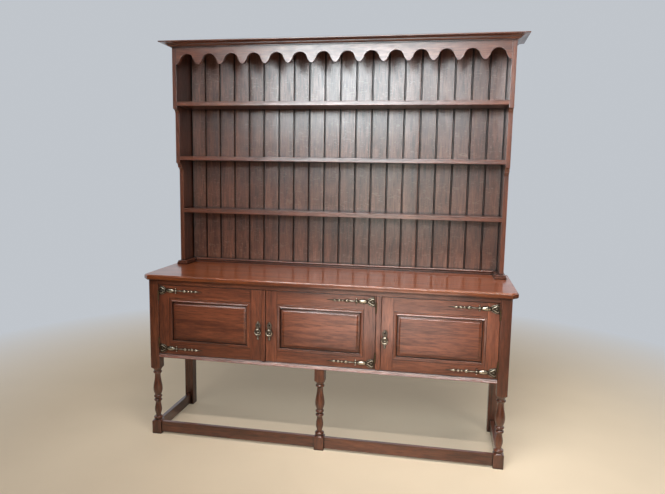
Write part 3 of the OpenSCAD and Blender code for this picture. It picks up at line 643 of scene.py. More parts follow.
@dataclass(frozen=True)
class OakFinish:
    """Stained oak under an old polish.

    Attributes:
        name: Name of the finish.
        deep: Colour of the dark growth and the pores.
        body: Main colour.
        warm: Colour where the stain has worn thin.
        slot: Material slot of the record that it belongs to; it is not used.
        rough: Roughness of the polish.
        polish: Weight of the clear coat.
        coat_rough: Roughness of the clear coat.
        rays: Strength of the ray flecks of quarter-sawn wood.
        relief: Strength of the bump.
        edges: Share of their colour that faces keep which don't look up, as painted shade.
    """

    name: str
    deep: Colour
    body: Colour
    warm: Colour
    slot: Slot = Slot.STAINED_OAK
    rough: float = 0.42
    polish: float = 0.25
    coat_rough: float = 0.3
    rays: float = 0.0
    relief: float = 0.35
    edges: float = 1.0

    def material(self, grain: Grain | None = None) -> bpy.types.Material:
        """Makes the material, or returns it if it is there already.

        Args:
            grain: Axis of the fibres on a frame node, or None on a piece with marked fibres.

        Returns:
            The material.
        """
        label = f"{self.name}_{'marked' if grain is None else grain.name.lower()}"
        if label in bpy.data.materials:
            return bpy.data.materials[label]
        recipe = Recipe(label)
        place = recipe.fibre(grain)
        bands = recipe.noise(recipe.stretched(place, BAND_SCALE), detail=4.0, rough=0.55, twist=0.2)
        streaks = recipe.noise(recipe.stretched(place, STREAK_SCALE), detail=5.0, rough=0.62)
        pores = recipe.noise(recipe.stretched(place, PORE_SCALE), detail=1.0)
        tone = recipe.noise(recipe.stretched(place, TONE_SCALE))
        colour = recipe.ramp(bands, [(0.27, self.deep), (0.50, self.body), (0.73, self.warm)])
        colour = recipe.shaded(colour, streaks, STREAK_SHADES, share=0.8)
        colour = recipe.shaded(colour, pores, PORE_SHADES, share=0.6)
        colour = recipe.shaded(colour, tone, TONE_SHADES)
        # Painted shade: faces that don't look up are darkened to the share given by edges.
        if self.edges < 1.0:
            facing_up = recipe.part(recipe.step("ShaderNodeNewGeometry").outputs["Normal"], 2)
            colour = recipe.shaded(colour, facing_up, [(0.3, self.edges), (0.9, 1.0)])
        height = recipe.reckon("MULTIPLY_ADD", streaks, 0.5, pores)
        rough = recipe.spread(streaks, self.rough + STREAK_ROUGHNESS, self.rough - STREAK_ROUGHNESS,
                              0.3, 0.7)
        if self.rays:
            ribbons = recipe.noise(recipe.stretched(place, RAY_SCALE), twist=2.2)
            flecks = recipe.spread(ribbons, 0.0, self.rays, 0.60, 0.66)
            colour = recipe.blend(flecks, colour, recipe.blend(0.6, self.warm, RAY_COLOUR))
            height = recipe.reckon("MULTIPLY_ADD", flecks, 0.5, height)
        # Painted shade, together with old wax and dirt: corners and grooves darken the colour and thin the
        # coat.
        closed = recipe.ramp(recipe.openness(OAK_DIRT_AND_SHADE_REACH), OAK_DIRT_AND_SHADE_STOPS)
        colour = recipe.blend(1.0, colour, closed, "MULTIPLY")
        normal = recipe.bump(height, self.relief, OAK_RELIEF)
        inputs: dict[str, Any] = {"Base Color": colour, "Roughness": rough, "Normal": normal, "IOR": 1.45}
        if self.polish:
            inputs["Coat Weight"] = recipe.product(
                recipe.spread(streaks, 0.6, 1.0, 0.34, 0.56), recipe.spread(tone, 0.75, 1.1, 0.3, 0.7),
                closed, self.polish)
            inputs["Coat Roughness"] = self.coat_rough
            inputs["Coat Normal"] = normal
        return recipe.coated(inputs)


@dataclass(frozen=True)
class BrassFinish:
    """Cast brass that has gone brown and stays bright only on the tops that hands and cloths rub.

    Attributes:
        name: Name of the finish.
        tarnish: Colour of the brown ground.
        bright: Colour on the rubbed tops.
        slot: Material slot of the record that it belongs to; it is not used.
        worn: Heights above the door, in metres, at which the rubbed look starts and is full.
        door_face: Depth of the door's face, in metres.
        rough: Roughness of the rubbed tops.
        bright_below: Height above which it is darker, in metres, or None.
    """

    name: str
    tarnish: Colour
    bright: Colour
    slot: Slot = Slot.AGED_BRASS
    worn: Point2 = (0.0020, 0.0038)
    door_face: float = -0.224
    rough: float = 0.26
    bright_below: float | None = None

    def material(self, grain: Grain | None = None) -> bpy.types.Material:
        """Makes the material, or returns it if it is there already.

        Args:
            grain: Not used, because brass has none.

        Returns:
            The material.
        """
        if self.name in bpy.data.materials:
            return bpy.data.materials[self.name]
        recipe = Recipe(self.name)
        place = recipe.place()
        clouds = recipe.noise(place, scale=110.0, detail=4.0, rough=0.6)
        specks = recipe.noise(place, scale=900.0)
        low, high = (self.door_face - height for height in self.worn)
        raised = recipe.spread(recipe.part(place, 1), 0.0, 1.0, low, high)
        # The bright share falls to a fifth over 8 mm up to that height, so the part above stays darker.
        if self.bright_below is not None:
            height_share = recipe.spread(recipe.part(place, 2), 1.0, 0.2, self.bright_below - 0.008,
                                    self.bright_below)
            raised = recipe.product(raised, height_share)
        open_air = recipe.openness(BRASS_REACH)
        share = recipe.product(raised, recipe.spread(open_air, 0.0, 1.0, 0.35, 0.75),
                               recipe.spread(clouds, 0.75, 1.0, 0.35, 0.6))
        colour = recipe.blend(share, self.tarnish, self.bright)
        colour = recipe.shaded(colour, specks, SPECK_SHADES, share=0.6)
        colour = recipe.shaded(colour, open_air, BRASS_CORNER_SHADES)
        rough = recipe.spread(share, self.rough + 0.25, self.rough)
        return recipe.coated({"Base Color": colour, "Roughness": rough, "Metallic": 1.0,
                              "Normal": recipe.bump(specks, 0.25, BRASS_RELIEF)})


Finish = OakFinish | BrassFinish


@dataclass(frozen=True)
class Palette:
    """The finishes of the dresser.

    Attributes:
        case: Rails, posts, doors and ends of the base.
        legs: Legs and stretchers, which are darker and glossier.
        rack: Plate rack and cornice.
        worktop: Worktop, with painted shade on the faces that don't look up.
        boards: Back boards of the rack.
        inside: Hidden boards, which never saw polish.
        brass: Strap plates.
        plate: Handle plates.
        ring: Ring pulls.
        browned: Hinges, locks and bolts.
    """

    case: OakFinish = OakFinish(
        "polished_case_oak", (0.079, 0.0195, 0.008), (0.137, 0.0365, 0.0155), (0.205, 0.060, 0.0265),
        rough=0.36, polish=1.0, coat_rough=0.17)
    legs: OakFinish = OakFinish(
        "polished_leg_oak", (0.050, 0.013, 0.006), (0.096, 0.026, 0.011), (0.155, 0.046, 0.020),
        rough=0.34, polish=1.0, coat_rough=0.1)
    rack: OakFinish = OakFinish(
        "polished_rack_oak", (0.063, 0.0165, 0.0072), (0.106, 0.0295, 0.0135), (0.154, 0.048, 0.0225),
        rough=0.36, polish=1.0, coat_rough=0.22)
    # The worktop's faces that don't look up get painted shade.
    worktop: OakFinish = OakFinish(
        "waxed_worktop_oak", (0.150, 0.032, 0.008), (0.228, 0.055, 0.014), (0.305, 0.083, 0.024),
        Slot.WORKTOP_OAK, rough=0.34, polish=0.95, coat_rough=0.035, relief=0.1, edges=0.6)
    boards: OakFinish = OakFinish(
        "back_board_oak", (0.055, 0.018, 0.010), (0.095, 0.033, 0.018), (0.145, 0.053, 0.030),
        Slot.BACK_OAK, rough=0.42, polish=1.0, coat_rough=0.25, rays=0.12)
    inside: OakFinish = OakFinish(
        "unpolished_oak", (0.07, 0.032, 0.018), (0.13, 0.062, 0.035), (0.19, 0.10, 0.058),
        rough=0.62, polish=0.0)
    brass: BrassFinish = BrassFinish("aged_cast_brass", (0.060, 0.044, 0.031), (0.57, 0.50, 0.40))
    plate: BrassFinish = BrassFinish(
        "handle_plate_brass", (0.075, 0.056, 0.042), (0.60, 0.53, 0.43), worn=(0.0014, 0.0032))
    ring: BrassFinish = BrassFinish(
        "rubbed_ring_brass", (0.050, 0.037, 0.026), (0.70, 0.62, 0.50), bright_below=0.579)
    browned: BrassFinish = BrassFinish(
        "browned_hinge_brass", (0.05, 0.034, 0.02), (0.16, 0.12, 0.07), rough=0.4)


class Workshop:
    """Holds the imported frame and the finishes, and hands each piece over to its body."""

    def __init__(self, frame: dict[str, Any], palette: Palette) -> None:
        """Opens the workshop.

        Args:
            palette: The finishes.
        """
        self.nodes: dict[str, bpy.types.Object] = frame["nodes"]
        self.palette = palette
        self.dressed: set[str] = set()

    def deliver(self, piece: Workpiece, body: str, finish: Finish, *nodes: str) -> None:
        """Finishes a piece and lets it ride on its body.

        Args:
            piece: The piece.
            body: Body that it moves with.
            finish: Its finish.
            *nodes: Frame nodes that the piece stands for.
        """
        made = piece.to_object()
        made.data.materials.append(finish.material())
        if nodes:
            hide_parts(*nodes)
            self.dressed.update(nodes)
        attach(made, body)
        LOG.info("%-28s %6d faces, rides on %s", made.name, len(made.data.polygons), body)

    def dress(self, node: str, finish: Finish, grain: Grain = Grain.X) -> None:
        """Gives a frame node its finish.

        Args:
            node: Name of the node.
            finish: The finish.
            grain: Axis that its fibres run along.
        """
        for socket in self.nodes[node].material_slots:
            socket.material = finish.material(grain)
        self.dressed.add(node)
        LOG.info("%-28s kept from the frame, in %s", node, finish.name)

    def check(self) -> None:
        """Stops the work if a frame node has been forgotten."""
        left = sorted(set(self.nodes) - self.dressed)
        if left:
            raise RuntimeError(f"nodes without a finish: {left}")


@dataclass
class Assembly:
    """Sub-assembly of the dresser.

    Attributes:
        shop: Workshop that its pieces are made in.
    """

    shop: Workshop

    @property
    def body(self) -> str:
        """Body that its pieces move with."""
        return "carcass"

    @property
    def finishes(self) -> Palette:
        """Finishes of the workshop."""
        return self.shop.palette

    def fit(self, name: str, shapes: Iterable[Shape], finish: Finish, *nodes: str,
            grain: Grain = Grain.X) -> None:
        """Makes a piece whose fibres all run the same way, and fits it to the body.

        Args:
            name: Name of the piece.
            shapes: Its shapes.
            finish: Its finish.
            *nodes: Frame nodes that the piece stands for.
            grain: Axis that its fibres run along.
        """
        piece = Workpiece(name)
        for shape in shapes:
            piece.add(shape, grain)
        self.shop.deliver(piece, self.body, finish, *nodes)


# ---- base ---------------------------------------------------------------------------------------


@dataclass
class HingePlaces:
    """Where the butt hinges are let in, which posts and doors share.

    Attributes:
        heights: Lower ends of the hinges.
        length: Length of a hinge.
        axis_y: Depth of the pins.
        knuckle: Radius of the recess round the knuckles.
        leaf: Thickness of a leaf.
        leaf_depth: Depth of a leaf from the pin.
        gap: Gap between door and post.
        end_play: Room over each end of the knuckles.
        leaf_play: Room over each end of a leaf.
        overrun: How far the cut for a leaf runs out of the wood.
    """

    heights: tuple[float, float] = (460.5, 702.0)
    length: float = 50.0
    axis_y: float = -226.0
    knuckle: float = 3.9
    leaf: float = 1.6
    leaf_depth: float = 16.1
    gap: float = 1.5
    end_play: float = 0.5
    leaf_play: float = 0.1
    overrun: float = 0.3

    def recesses(self, pin_x: float, side: int) -> list[Shape]:
        """Gives what is cut away for the hinges on one pin line.

        Args:
            pin_x: Place of the pins.
            side: 1 where the wood is on the right of the pins, -1 on the left.

        Returns:
            The shapes to cut with.
        """
        cuts = []
        edge = pin_x + side * self.gap / 2
        x0, x1 = sorted((edge - side * self.overrun, edge + side * self.leaf))
        for z in self.heights:
            cuts.append(drilled((pin_x, self.axis_y, z - self.end_play), self.knuckle,
                                self.length + 2 * self.end_play, Grain.Z))
            cuts.append(plank((x0, self.axis_y, z - self.leaf_play),
                              (x1, self.axis_y + self.leaf_depth, z + self.length + self.leaf_play),
                              ease=0.0))
        return cuts


@dataclass
class TurnedLeg:
    """Front leg: square foot and post with a baluster turned between them.

    Attributes:
        x: Its middle.
        top: Height of its top.
        y: Its middle in depth.
        half: Half the side of the blank.
        blunt: How far the blank's four corners are taken down.
        foot: Height of the square foot.
        foot_ease: Height over which the foot's lower edges are taken in.
        foot_share: Radius that they are taken in to, in half sides of the blank.
        post: Height at which the square begins again.
        shoulder: Steps from the turning into the square, as rise and radius in half sides.
        shoulder_rise: Rise at which the blank is left square.
        corners: Angles of the section's corners in a quarter turn, with the blunt corner at 45.
        turning: Radii of the baluster by height.
    """

    x: float
    top: float
    y: float = -202.0
    half: float = 24.0
    blunt: float = 0.55
    foot: float = 68.0
    foot_ease: float = 1.2
    foot_share: float = 1.36
    post: float = 347.0
    shoulder: tuple[Point2, ...] = ((0.0, 1.06), (1.6, 1.27))
    shoulder_rise: float = 4.5
    corners: tuple[float, ...] = (
        0.0, 7.5, 15.0, 22.5, 30.0, 37.5, 43.6, 45.0, 46.4, 52.5, 60.0, 67.5, 75.0, 82.5)
    turning: tuple[Point2, ...] = (
        (70.5, 22.6), (72.2, 19.5), (74.0, 17.6), (76.0, 17.6), (77.5, 20.2), (80.0, 22.2),
        (83.0, 22.8), (86.0, 22.0), (88.3, 19.6), (89.2, 16.0), (91.0, 13.8), (94.5, 12.9),
        (99.0, 13.2), (106.0, 14.8), (114.0, 16.8), (122.0, 17.9), (130.0, 17.9), (138.0, 16.9),
        (146.0, 15.4), (154.0, 14.0), (161.0, 13.3), (166.0, 13.6), (168.5, 15.2), (170.0, 17.4),
        (172.5, 19.3), (175.5, 19.9), (178.5, 19.2), (180.6, 17.2), (181.8, 14.8), (184.5, 13.8),
        (187.4, 14.8), (188.8, 17.2), (191.0, 19.4), (194.5, 20.4), (198.0, 19.6), (200.2, 17.6),
        (201.4, 15.6), (204.0, 15.4), (209.0, 17.4), (216.0, 19.9), (224.0, 21.8), (233.0, 22.7),
        (243.0, 22.6), (253.0, 21.6), (263.0, 20.0), (273.0, 18.2), (283.0, 16.6), (293.0, 15.3),
        (303.0, 14.5), (310.0, 14.3), (314.5, 14.8), (317.0, 16.6), (318.4, 19.0), (320.8, 20.9),
        (323.8, 21.5), (326.8, 20.7), (328.8, 18.6), (329.8, 17.2), (332.5, 17.3), (335.5, 18.3),
        (339.0, 20.2), (342.0, 22.2), (344.5, 23.6))

    def limits(self) -> list[Point2]:
        """Gives the radius that the lathe allows at each height.

        Returns:
            Heights and radii, where an endless radius leaves the blank square.
        """
        steps = [(rise, self.half * share) for rise, share in self.shoulder]
        steps.append((self.shoulder_rise, math.inf))
        return [(0.0, self.half * self.foot_share), (self.foot_ease, math.inf),
                *((self.foot - rise, radius) for rise, radius in steps[::-1]), *self.turning,
                *((self.post + rise, radius) for rise, radius in steps), (self.top, math.inf)]

    def shape(self) -> Shape:
        """Turns the leg.

        Returns:
            The leg as one solid, square where the lathe leaves it so.
        """
        angles = [math.radians(90.0 * quarter + step) for quarter in range(4) for step in self.corners]
        corner = self.half * math.sqrt(2.0) - self.blunt
        loops = []
        for z, limit in self.limits():
            loop = []
            for t in angles:
                radius = min(self.half / max(abs(math.cos(t)), abs(math.sin(t))), corner, limit)
                loop.append((self.x + radius * math.cos(t), self.y + radius * math.sin(t), z))
            loops.append(loop)
        return lofted(loops)


@dataclass
class Base(Assembly):
    """Legs, stretchers, rails and posts of the sideboard.

    Attributes:
        hinges: Where the hinges are let in.
        half_width: Half the width over the legs.
        leg: Side of the legs.
        front: Front face of the legs.
        back: Back face of the back legs.
        under_top: Underside of the worktop.
        underside: Underside of the cupboard.
        floor: Upper face of the cupboard floor.
        door_face: Front face of the doors and the top rail.
        rail_back: Back of the rails.
        nose: Front of the bottom rail, as depth behind its foremost line and height.
        nose_out: How far it stands out before the legs.
        top_rail: Underside of the top rail.
        divider: Left and right face of the divider post.
        keep: Two corners of the mortise that the right door's lock bolt shoots into.
        bolt_bore: Foot of the bore that the inside bolt of the left door shoots into.
        bolt_radius: Radius of that bore.
        bolt_depth: Depth of that bore.
        stretcher: Thickness of the stretchers.
        stretcher_inset: How far the front stretchers stand behind the legs' faces.
        stretcher_rise: Lower and upper edge of the stretchers.
    """

    hinges: HingePlaces = field(default_factory=HingePlaces)
    half_width: float = 875.0
    leg: float = 48.0
    front: float = -226.0
    back: float = 221.0
    under_top: float = 808.0
    underside: float = 410.0
    floor: float = 429.0
    door_face: float = -224.0
    rail_back: float = -176.0
    nose: tuple[Point2, ...] = (
        (1.6, 0.0), (0.4, 0.4), (0.0, 1.4), (0.2, 2.4), (4.9, 8.4), (5.1, 8.9), (5.1, 9.9),
        (5.4, 10.3), (9.6, 15.7), (10.6, 16.9), (11.0, 18.2), (11.6, 19.0))
    nose_out: float = 4.0
    top_rail: float = 783.5
    divider: Point2 = (266.5, 290.5)
    keep: tuple[Point3, Point3] = ((280.5, -203.4, 602.35), (291.5, -196.6, 619.55))
    bolt_bore: Point3 = (-312.0, -199.0, 782.5)
    bolt_radius: float = 3.6
    bolt_depth: float = 13.0
    stretcher: float = 20.0
    stretcher_inset: float = 7.0
    stretcher_rise: Point2 = (10.0, 66.0)

    @property
    def inner(self) -> float:
        """Inner face of the legs."""
        return self.half_width - self.leg

    def front_legs(self) -> None:
        """Turns the three front legs and lets the hinges into the outer ones."""
        finish = self.finishes.legs
        for side, name in SIDES:
            leg = TurnedLeg(side * (self.half_width - self.leg / 2), self.under_top).shape()
            cuts = self.hinges.recesses(side * (self.inner - self.hinges.gap / 2), side)
            self.fit(f"turned_leg_{name}", [carved(leg, cuts)], finish, f"leg_front_{name}", grain=Grain.Z)
        leg = TurnedLeg(0.0, self.underside).shape()
        self.fit("turned_leg_middle", [leg], finish, "leg_front_middle", grain=Grain.Z)

    def back_legs(self) -> None:
        """Planes the two square back legs."""
        for side, name in SIDES:
            x0, x1 = sorted((side * self.half_width, side * self.inner))
            leg = plank((x0, self.back - self.leg, 0.0), (x1, self.back, self.under_top), ease=1.2)
            self.fit(f"square_leg_{name}", [leg], self.finishes.legs, f"leg_back_{name}", grain=Grain.Z)

    def stretchers(self) -> None:
        """Planes the stretchers between the feet."""
        z0, z1 = self.stretcher_rise
        y = self.front + self.stretcher_inset
        for side, name in SIDES:
            x0, x1 = sorted((side * self.inner, side * self.leg / 2))
            bar = plank((x0, y, z0), (x1, y + self.stretcher, z1), ease=1.8)
            self.fit(f"front_stretcher_{name}", [bar], self.finishes.legs, f"stretcher_front_{name}")
            x = side * (self.half_width - self.leg / 2)
            bar = plank((x - self.stretcher / 2, self.front + self.leg, z0),
                        (x + self.stretcher / 2, self.back - self.leg, z1), ease=1.8)
            self.fit(f"side_stretcher_{name}", [bar], self.finishes.legs, f"stretcher_side_{name}",
                     grain=Grain.Y)

    def rails(self) -> None:
        """Runs the rounded bottom rail, and planes and bores the top rail."""
        nose = [(self.front - self.nose_out + back, self.underside + up) for back, up in self.nose]
        section = [(self.rail_back, self.underside), *nose, (self.rail_back, self.floor)]
        self.fit("moulded_bottom_rail", [squared(section, self.inner)], self.finishes.case, "bottom_rail")
        rail = plank((-self.inner, self.door_face, self.top_rail),
                     (self.inner, self.rail_back, self.under_top), ease=1.3)
        bore = drilled(self.bolt_bore, self.bolt_radius, self.bolt_depth, Grain.Z)
        self.fit("plain_top_rail", [carved(rail, [bore])], self.finishes.case, "top_rail")

    def divider_post(self) -> None:
        """Planes the post between the middle and right doors, with its hinges and keep let in."""
        post = plank((self.divider[0], self.door_face, self.floor),
                     (self.divider[1], self.rail_back, self.top_rail), ease=1.4)
        keep = plank(*self.keep, ease=0.0)
        cuts = [*self.hinges.recesses(self.divider[0] - self.hinges.gap / 2, 1), keep]
        self.fit("middle_post", [carved(post, cuts)], self.finishes.case, "divider_post", grain=Grain.Z)

    def hidden_boards(self) -> None:
        """Finishes the boards and the hinge leaves that stay as the frame has them."""
        case, inside = self.finishes.case, self.finishes.inside
        for node, finish, grain in (
                ("end_panel_left", case, Grain.Z), ("end_panel_right", case, Grain.Z),
                ("partition", inside, Grain.Z), ("cupboard_back", inside, Grain.X),
                ("back_rail_lower", inside, Grain.X), ("cupboard_floor", inside, Grain.X),
                ("hinge_leaves_fixed", self.finishes.browned, Grain.X)):
            self.shop.dress(node, finish, grain)

    def build(self) -> None:
        """Makes the whole base."""
        self.front_legs()
        self.back_legs()
        self.stretchers()
        self.rails()
        self.divider_post()
        self.hidden_boards()


@dataclass
class Worktop(Assembly):
    """Thick top with clipped front corners and a moulded edge.

    Attributes:
        half_width: Half its width.
        front: Its front edge.
        back: Its back edge.
        clip: Length taken off each front corner.
        clip_share: Share of the edge's inset that the clip loses, so that its moulding stays even.
        underside: Height of its underside.
        edge: Section of the edge, as distance in and height.
    """

    half_width: float = 900.0
    front: float = -250.0
    back: float = 250.0
    clip: float = 27.0
    clip_share: float = 0.4
    underside: float = 808.0
    edge: tuple[Point2, ...] = (
        (5.0, 0.0), (3.6, 0.4), (3.0, 1.2), (3.0, 3.6), (1.6, 4.0), (0.5, 4.6), (0.0, 5.8),
        (0.0, 19.2), (0.4, 20.4), (1.4, 21.2), (2.6, 21.6), (3.0, 22.2), (3.3, 23.6),
        (4.1, 24.8), (5.3, 25.6), (7.0, 26.0))

    def build(self) -> None:
        """Makes the worktop."""
        loops = []
        for inset, height in self.edge:
            x, y, z = self.half_width - inset, self.front + inset, self.underside + height
            clip = self.clip - self.clip_share * inset
            loops.append([(-x + clip, y, z), (x - clip, y, z), (x, y + clip, z),
                          (x, self.back, z), (-x, self.back, z), (-x, y + clip, z)])
        self.fit("worktop_board", [lofted(loops)], self.finishes.worktop, "worktop")


# ---- plate rack ---------------------------------------------------------------------------------


@dataclass
class PlateRack(Assembly):
    """Stepped sides, shelves, matched back boards, frieze and feet.

    Attributes:
        outer: Outer face of the sides.
        inner: Inner face of the sides.
        foot_z: Height of the worktop, on which the feet stand.
        bottom: Lower end of the sides.
        top: Upper end of the sides.
        back: Back of the boards.
        board_front: Front of the boards.
        play: Gap between the feet and what they are fitted round.
        fronts: Front of each shelf, from the top down.
        tops: Upper face of each shelf, from the top down.
        shelf: Thickness of the shelves.
        step_drop: How far below a shelf the side starts to step back.
        step_flat: Flat between the two curves of the lower step.
        shelf_round: Radius of a shelf's front edges.
        shelf_back: How far its upper front edge stands behind the lower one.
        quirk: Line scratched along its front, as depth and height from its upper front edge.
        boards: Number of back boards.
        bevel: Sloping edge of a back board.
        joint: Half a joint of two boards, as distance from its middle and depth behind board_front.
        board_set: How far the boards' faces lie behind board_front.
        board_strips: Number of strips that a board's face is drawn with.
        cup: How far a board is cupped at most.
        twist: How far a board is turned at most.
        arches: Number of arches in the frieze.
        tips: Height of the lower tips between the arches.
        flare: Curve from a tip up into an arch, as distance and height from the tip.
        arch: Radius of an arch.
        arch_rise: Height of its middle over the tips.
        arch_start: Angle at which it starts, in degrees.
        frieze: Thickness of the frieze.
        runner: Inner and outer face of a runner.
        runner_front: Front of the runners.
        runner_steps: Inset, height, thickness and ease of a runner's two steps.
        foot_rail: Lower part of the beaded rail's section, as depth and height over the worktop.
        foot_bead: Depth and height of its bead's middle, and the bead's radius.
        foot_rail_top: Height of the beaded rail.
    """

    outer: float = 864.0
    inner: float = 842.0
    foot_z: float = 834.0
    bottom: float = 854.0
    top: float = 1981.0
    back: float = 250.0
    board_front: float = 238.0
    play: float = 0.1
    fronts: Point3 = (53.0, 81.0, 121.0)
    tops: Point3 = (1705.0, 1424.0, 1141.0)
    shelf: float = 22.0
    step_drop: float = 15.0
    step_flat: float = 4.0
    shelf_round: float = 1.6
    shelf_back: float = 1.0
    quirk: tuple[Point2, ...] = ((0.7, -6.4), (1.7, -5.9), (1.7, -5.3), (0.8, -4.8))
    boards: int = 20
    bevel: float = 5.6
    joint: tuple[Point2, ...] = ((0.5, 12.0), (0.0, 11.4), (0.0, 8.0), (1.8, 8.0), (2.0, 7.6), (4.5, 1.3))
    board_set: float = 0.3
    board_strips: int = 6
    cup: float = 0.25
    twist: float = 0.3
    arches: int = 14
    tips: float = 1893.0
    flare: tuple[Point2, ...] = ((0.0, 0.0), (2.8, 0.2), (6.0, 1.2), (9.0, 3.0), (11.6, 5.5), (13.6, 8.3),
                                 (15.5, 11.2), (17.8, 14.4), (20.2, 17.6))
    arch: float = 38.5
    arch_rise: float = 14.5
    arch_start: float = 8.2
    frieze: float = 18.0
    runner: Point2 = (820.0, 877.0)
    runner_front: float = 102.0
    runner_steps: tuple[Four, ...] = ((0.0, 0.0, 12.0, 1.0), (3.0, 11.6, 8.4, 2.4))
    foot_rail: tuple[Point2, ...] = ((238.0, 0.0), (226.5, 0.0), (226.0, 0.6), (226.0, 9.0), (227.2, 9.8))
    foot_bead: Point3 = (232.0, 16.0, 6.0)
    foot_rail_top: float = 22.0

    def side_outline(self) -> list[Point2]:
        """Draws a side as depth and height.

        Returns:
            The outline, which steps back below the two upper shelves.
        """
        upper, middle, lower = self.fronts
        deep, shallow = middle - upper, (lower - middle) / 2
        high, low = (top - self.shelf - self.step_drop for top in self.tops[:2])
        outline = [(self.back, self.bottom), (self.back, self.top), (upper, self.top), (upper, high)]
        outline += arc((upper, high - deep), deep, 88.0, 0.0, 9)
        outline += [(middle, low)]
        outline += arc((middle, low - shallow), shallow, 88.0, 0.0, 8)
        outline += arc((middle + shallow, low - 2 * shallow - self.step_flat), shallow, 90.0, 0.0, 8)
        return outline + [(lower, self.bottom)]

    def sides(self) -> None:
        """Saws the two sides."""
        stand = Matrix(((0, 0, 1, 0), (1, 0, 0, 0), (0, 1, 0, 0), (0, 0, 0, 1)))
        for x, name in ((-self.outer, "left"), (self.inner, "right")):
            board = sawn(self.side_outline(), self.outer - self.inner, ease=1.0)
            self.fit(f"stepped_side_{name}", [placed(board, Matrix.Translation((x, 0, 0)) @ stand)],
                     self.finishes.rack, f"rack_side_{name}", grain=Grain.Z)

    def shelf_section(self, front: float, top: float) -> list[Point2]:
        """Draws a shelf as depth and height, with a scratched line along its front edge.

        Args:
            front: Its front.
            top: Its upper face.

        Returns:
            The section.
        """
        low, r = top - self.shelf, self.shelf_round
        lower = arc((front + r, low + r), r, 270.0, 180.0, 5)
        upper = arc((front + self.shelf_back + r, top - r), r, 176.0, 90.0, 5)
        quirk = [(front + depth, top + up) for depth, up in self.quirk]
        return [(self.board_front, low), *lower, *quirk, *upper, (self.board_front, top)]

    def shelves(self) -> None:
        """Runs the three shelves."""
        for name, front, top in zip(("upper", "middle", "lower"), self.fronts, self.tops):
            board = squared(self.shelf_section(front, top), self.inner)
            self.fit(f"lined_shelf_{name}", [board], self.finishes.rack, f"shelf_{name}")

    def back_boards(self) -> None:
        """Planes the back boards, each a little cupped and turned."""
        piece = Workpiece("matched_back_boards")
        width = 2 * self.inner / self.boards
        joint = [(out, self.board_front + depth) for out, depth in self.joint]
        for k in range(self.boards):
            left = -self.inner + k * width
            cup = piece.chance.uniform(-self.cup, self.cup)
            turn = piece.chance.uniform(-self.twist, self.twist)
            front = []
            for i in range(self.board_strips + 1):
                share = i / self.board_strips
                bow = cup * (2 * share - 1) ** 2 + turn * (share - 0.5)
                front.append((left + self.bevel + (width - 2 * self.bevel) * share,
                              self.board_front + self.board_set + bow))
            outline = [*((left + out, y) for out, y in joint), *front,
                       *((left + width - out, y) for out, y in joint[::-1])]
            piece.add(lofted([[(x, y, z) for x, y in outline] for z in (self.foot_z, self.top)]), Grain.Z)
        self.shop.deliver(piece, self.body, self.finishes.boards, "back_boards")

    def frieze_outline(self) -> list[Point2]:
        """Draws the scalloped frieze.

        Returns:
            The outline in x and z: along the top to the right, then back along the scallops.
        """
        pitch = 2 * self.inner / self.arches
        outline = [(-self.inner, self.top), (self.inner, self.top)]
        for k in range(self.arches):
            right = self.inner - k * pitch
            outline += [(right - out, self.tips + up) for out, up in self.flare]
            outline += arc((right - pitch / 2, self.tips + self.arch_rise), self.arch, self.arch_start,
                           180.0 - self.arch_start, 16)
            outline += [(right - pitch + out, self.tips + up) for out, up in self.flare[:0:-1]]
        return outline + [(-self.inner, self.tips)]

    def scalloped_frieze(self) -> None:
        """Saws the frieze."""
        board = placed(sawn(self.frieze_outline(), self.frieze, ease=0.7),
                       facing_front(0.0, self.fronts[0] + self.frieze, 0.0))
        self.fit("scalloped_frieze", [board], self.finishes.rack, "frieze")

    def feet(self) -> None:
        """Planes the two runners and the beaded rail between them at the back."""
        inner, outer = self.runner
        notch_x, notch_y = self.inner + self.play, self.board_front - self.play
        for side, name in SIDES:
            blocks = []
            for inset, z, height, ease in self.runner_steps:
                front = self.runner_front + inset
                outline = [(inner + inset, front), (outer - inset, front), (outer - inset, self.back),
                           (notch_x, self.back), (notch_x, notch_y), (inner + inset, notch_y)]
                block = sawn([(side * x, y) for x, y in outline], height, ease)
                blocks.append(placed(block, Matrix.Translation((0, 0, self.foot_z + z))))
            nodes = ["rack_feet"] if side > 0 else []
            self.fit(f"rack_runner_{name}", blocks, self.finishes.rack, *nodes, grain=Grain.Y)
        depth, up, radius = self.foot_bead
        section = [*((y, self.foot_z + z) for y, z in self.foot_rail),
                   *arc((depth, self.foot_z + up), radius, 255.0, 90.0, 14),
                   (self.board_front, self.foot_z + self.foot_rail_top)]
        self.fit("beaded_foot_rail", [squared(section, inner - self.play)], self.finishes.rack,
                 "rack_bottom_rail")

    def build(self) -> None:
        """Makes the whole rack."""
        self.sides()
        self.shelves()
        self.back_boards()
        self.scalloped_frieze()
        self.feet()
        self.shop.dress("rack_top_board", self.finishes.inside, Grain.X)


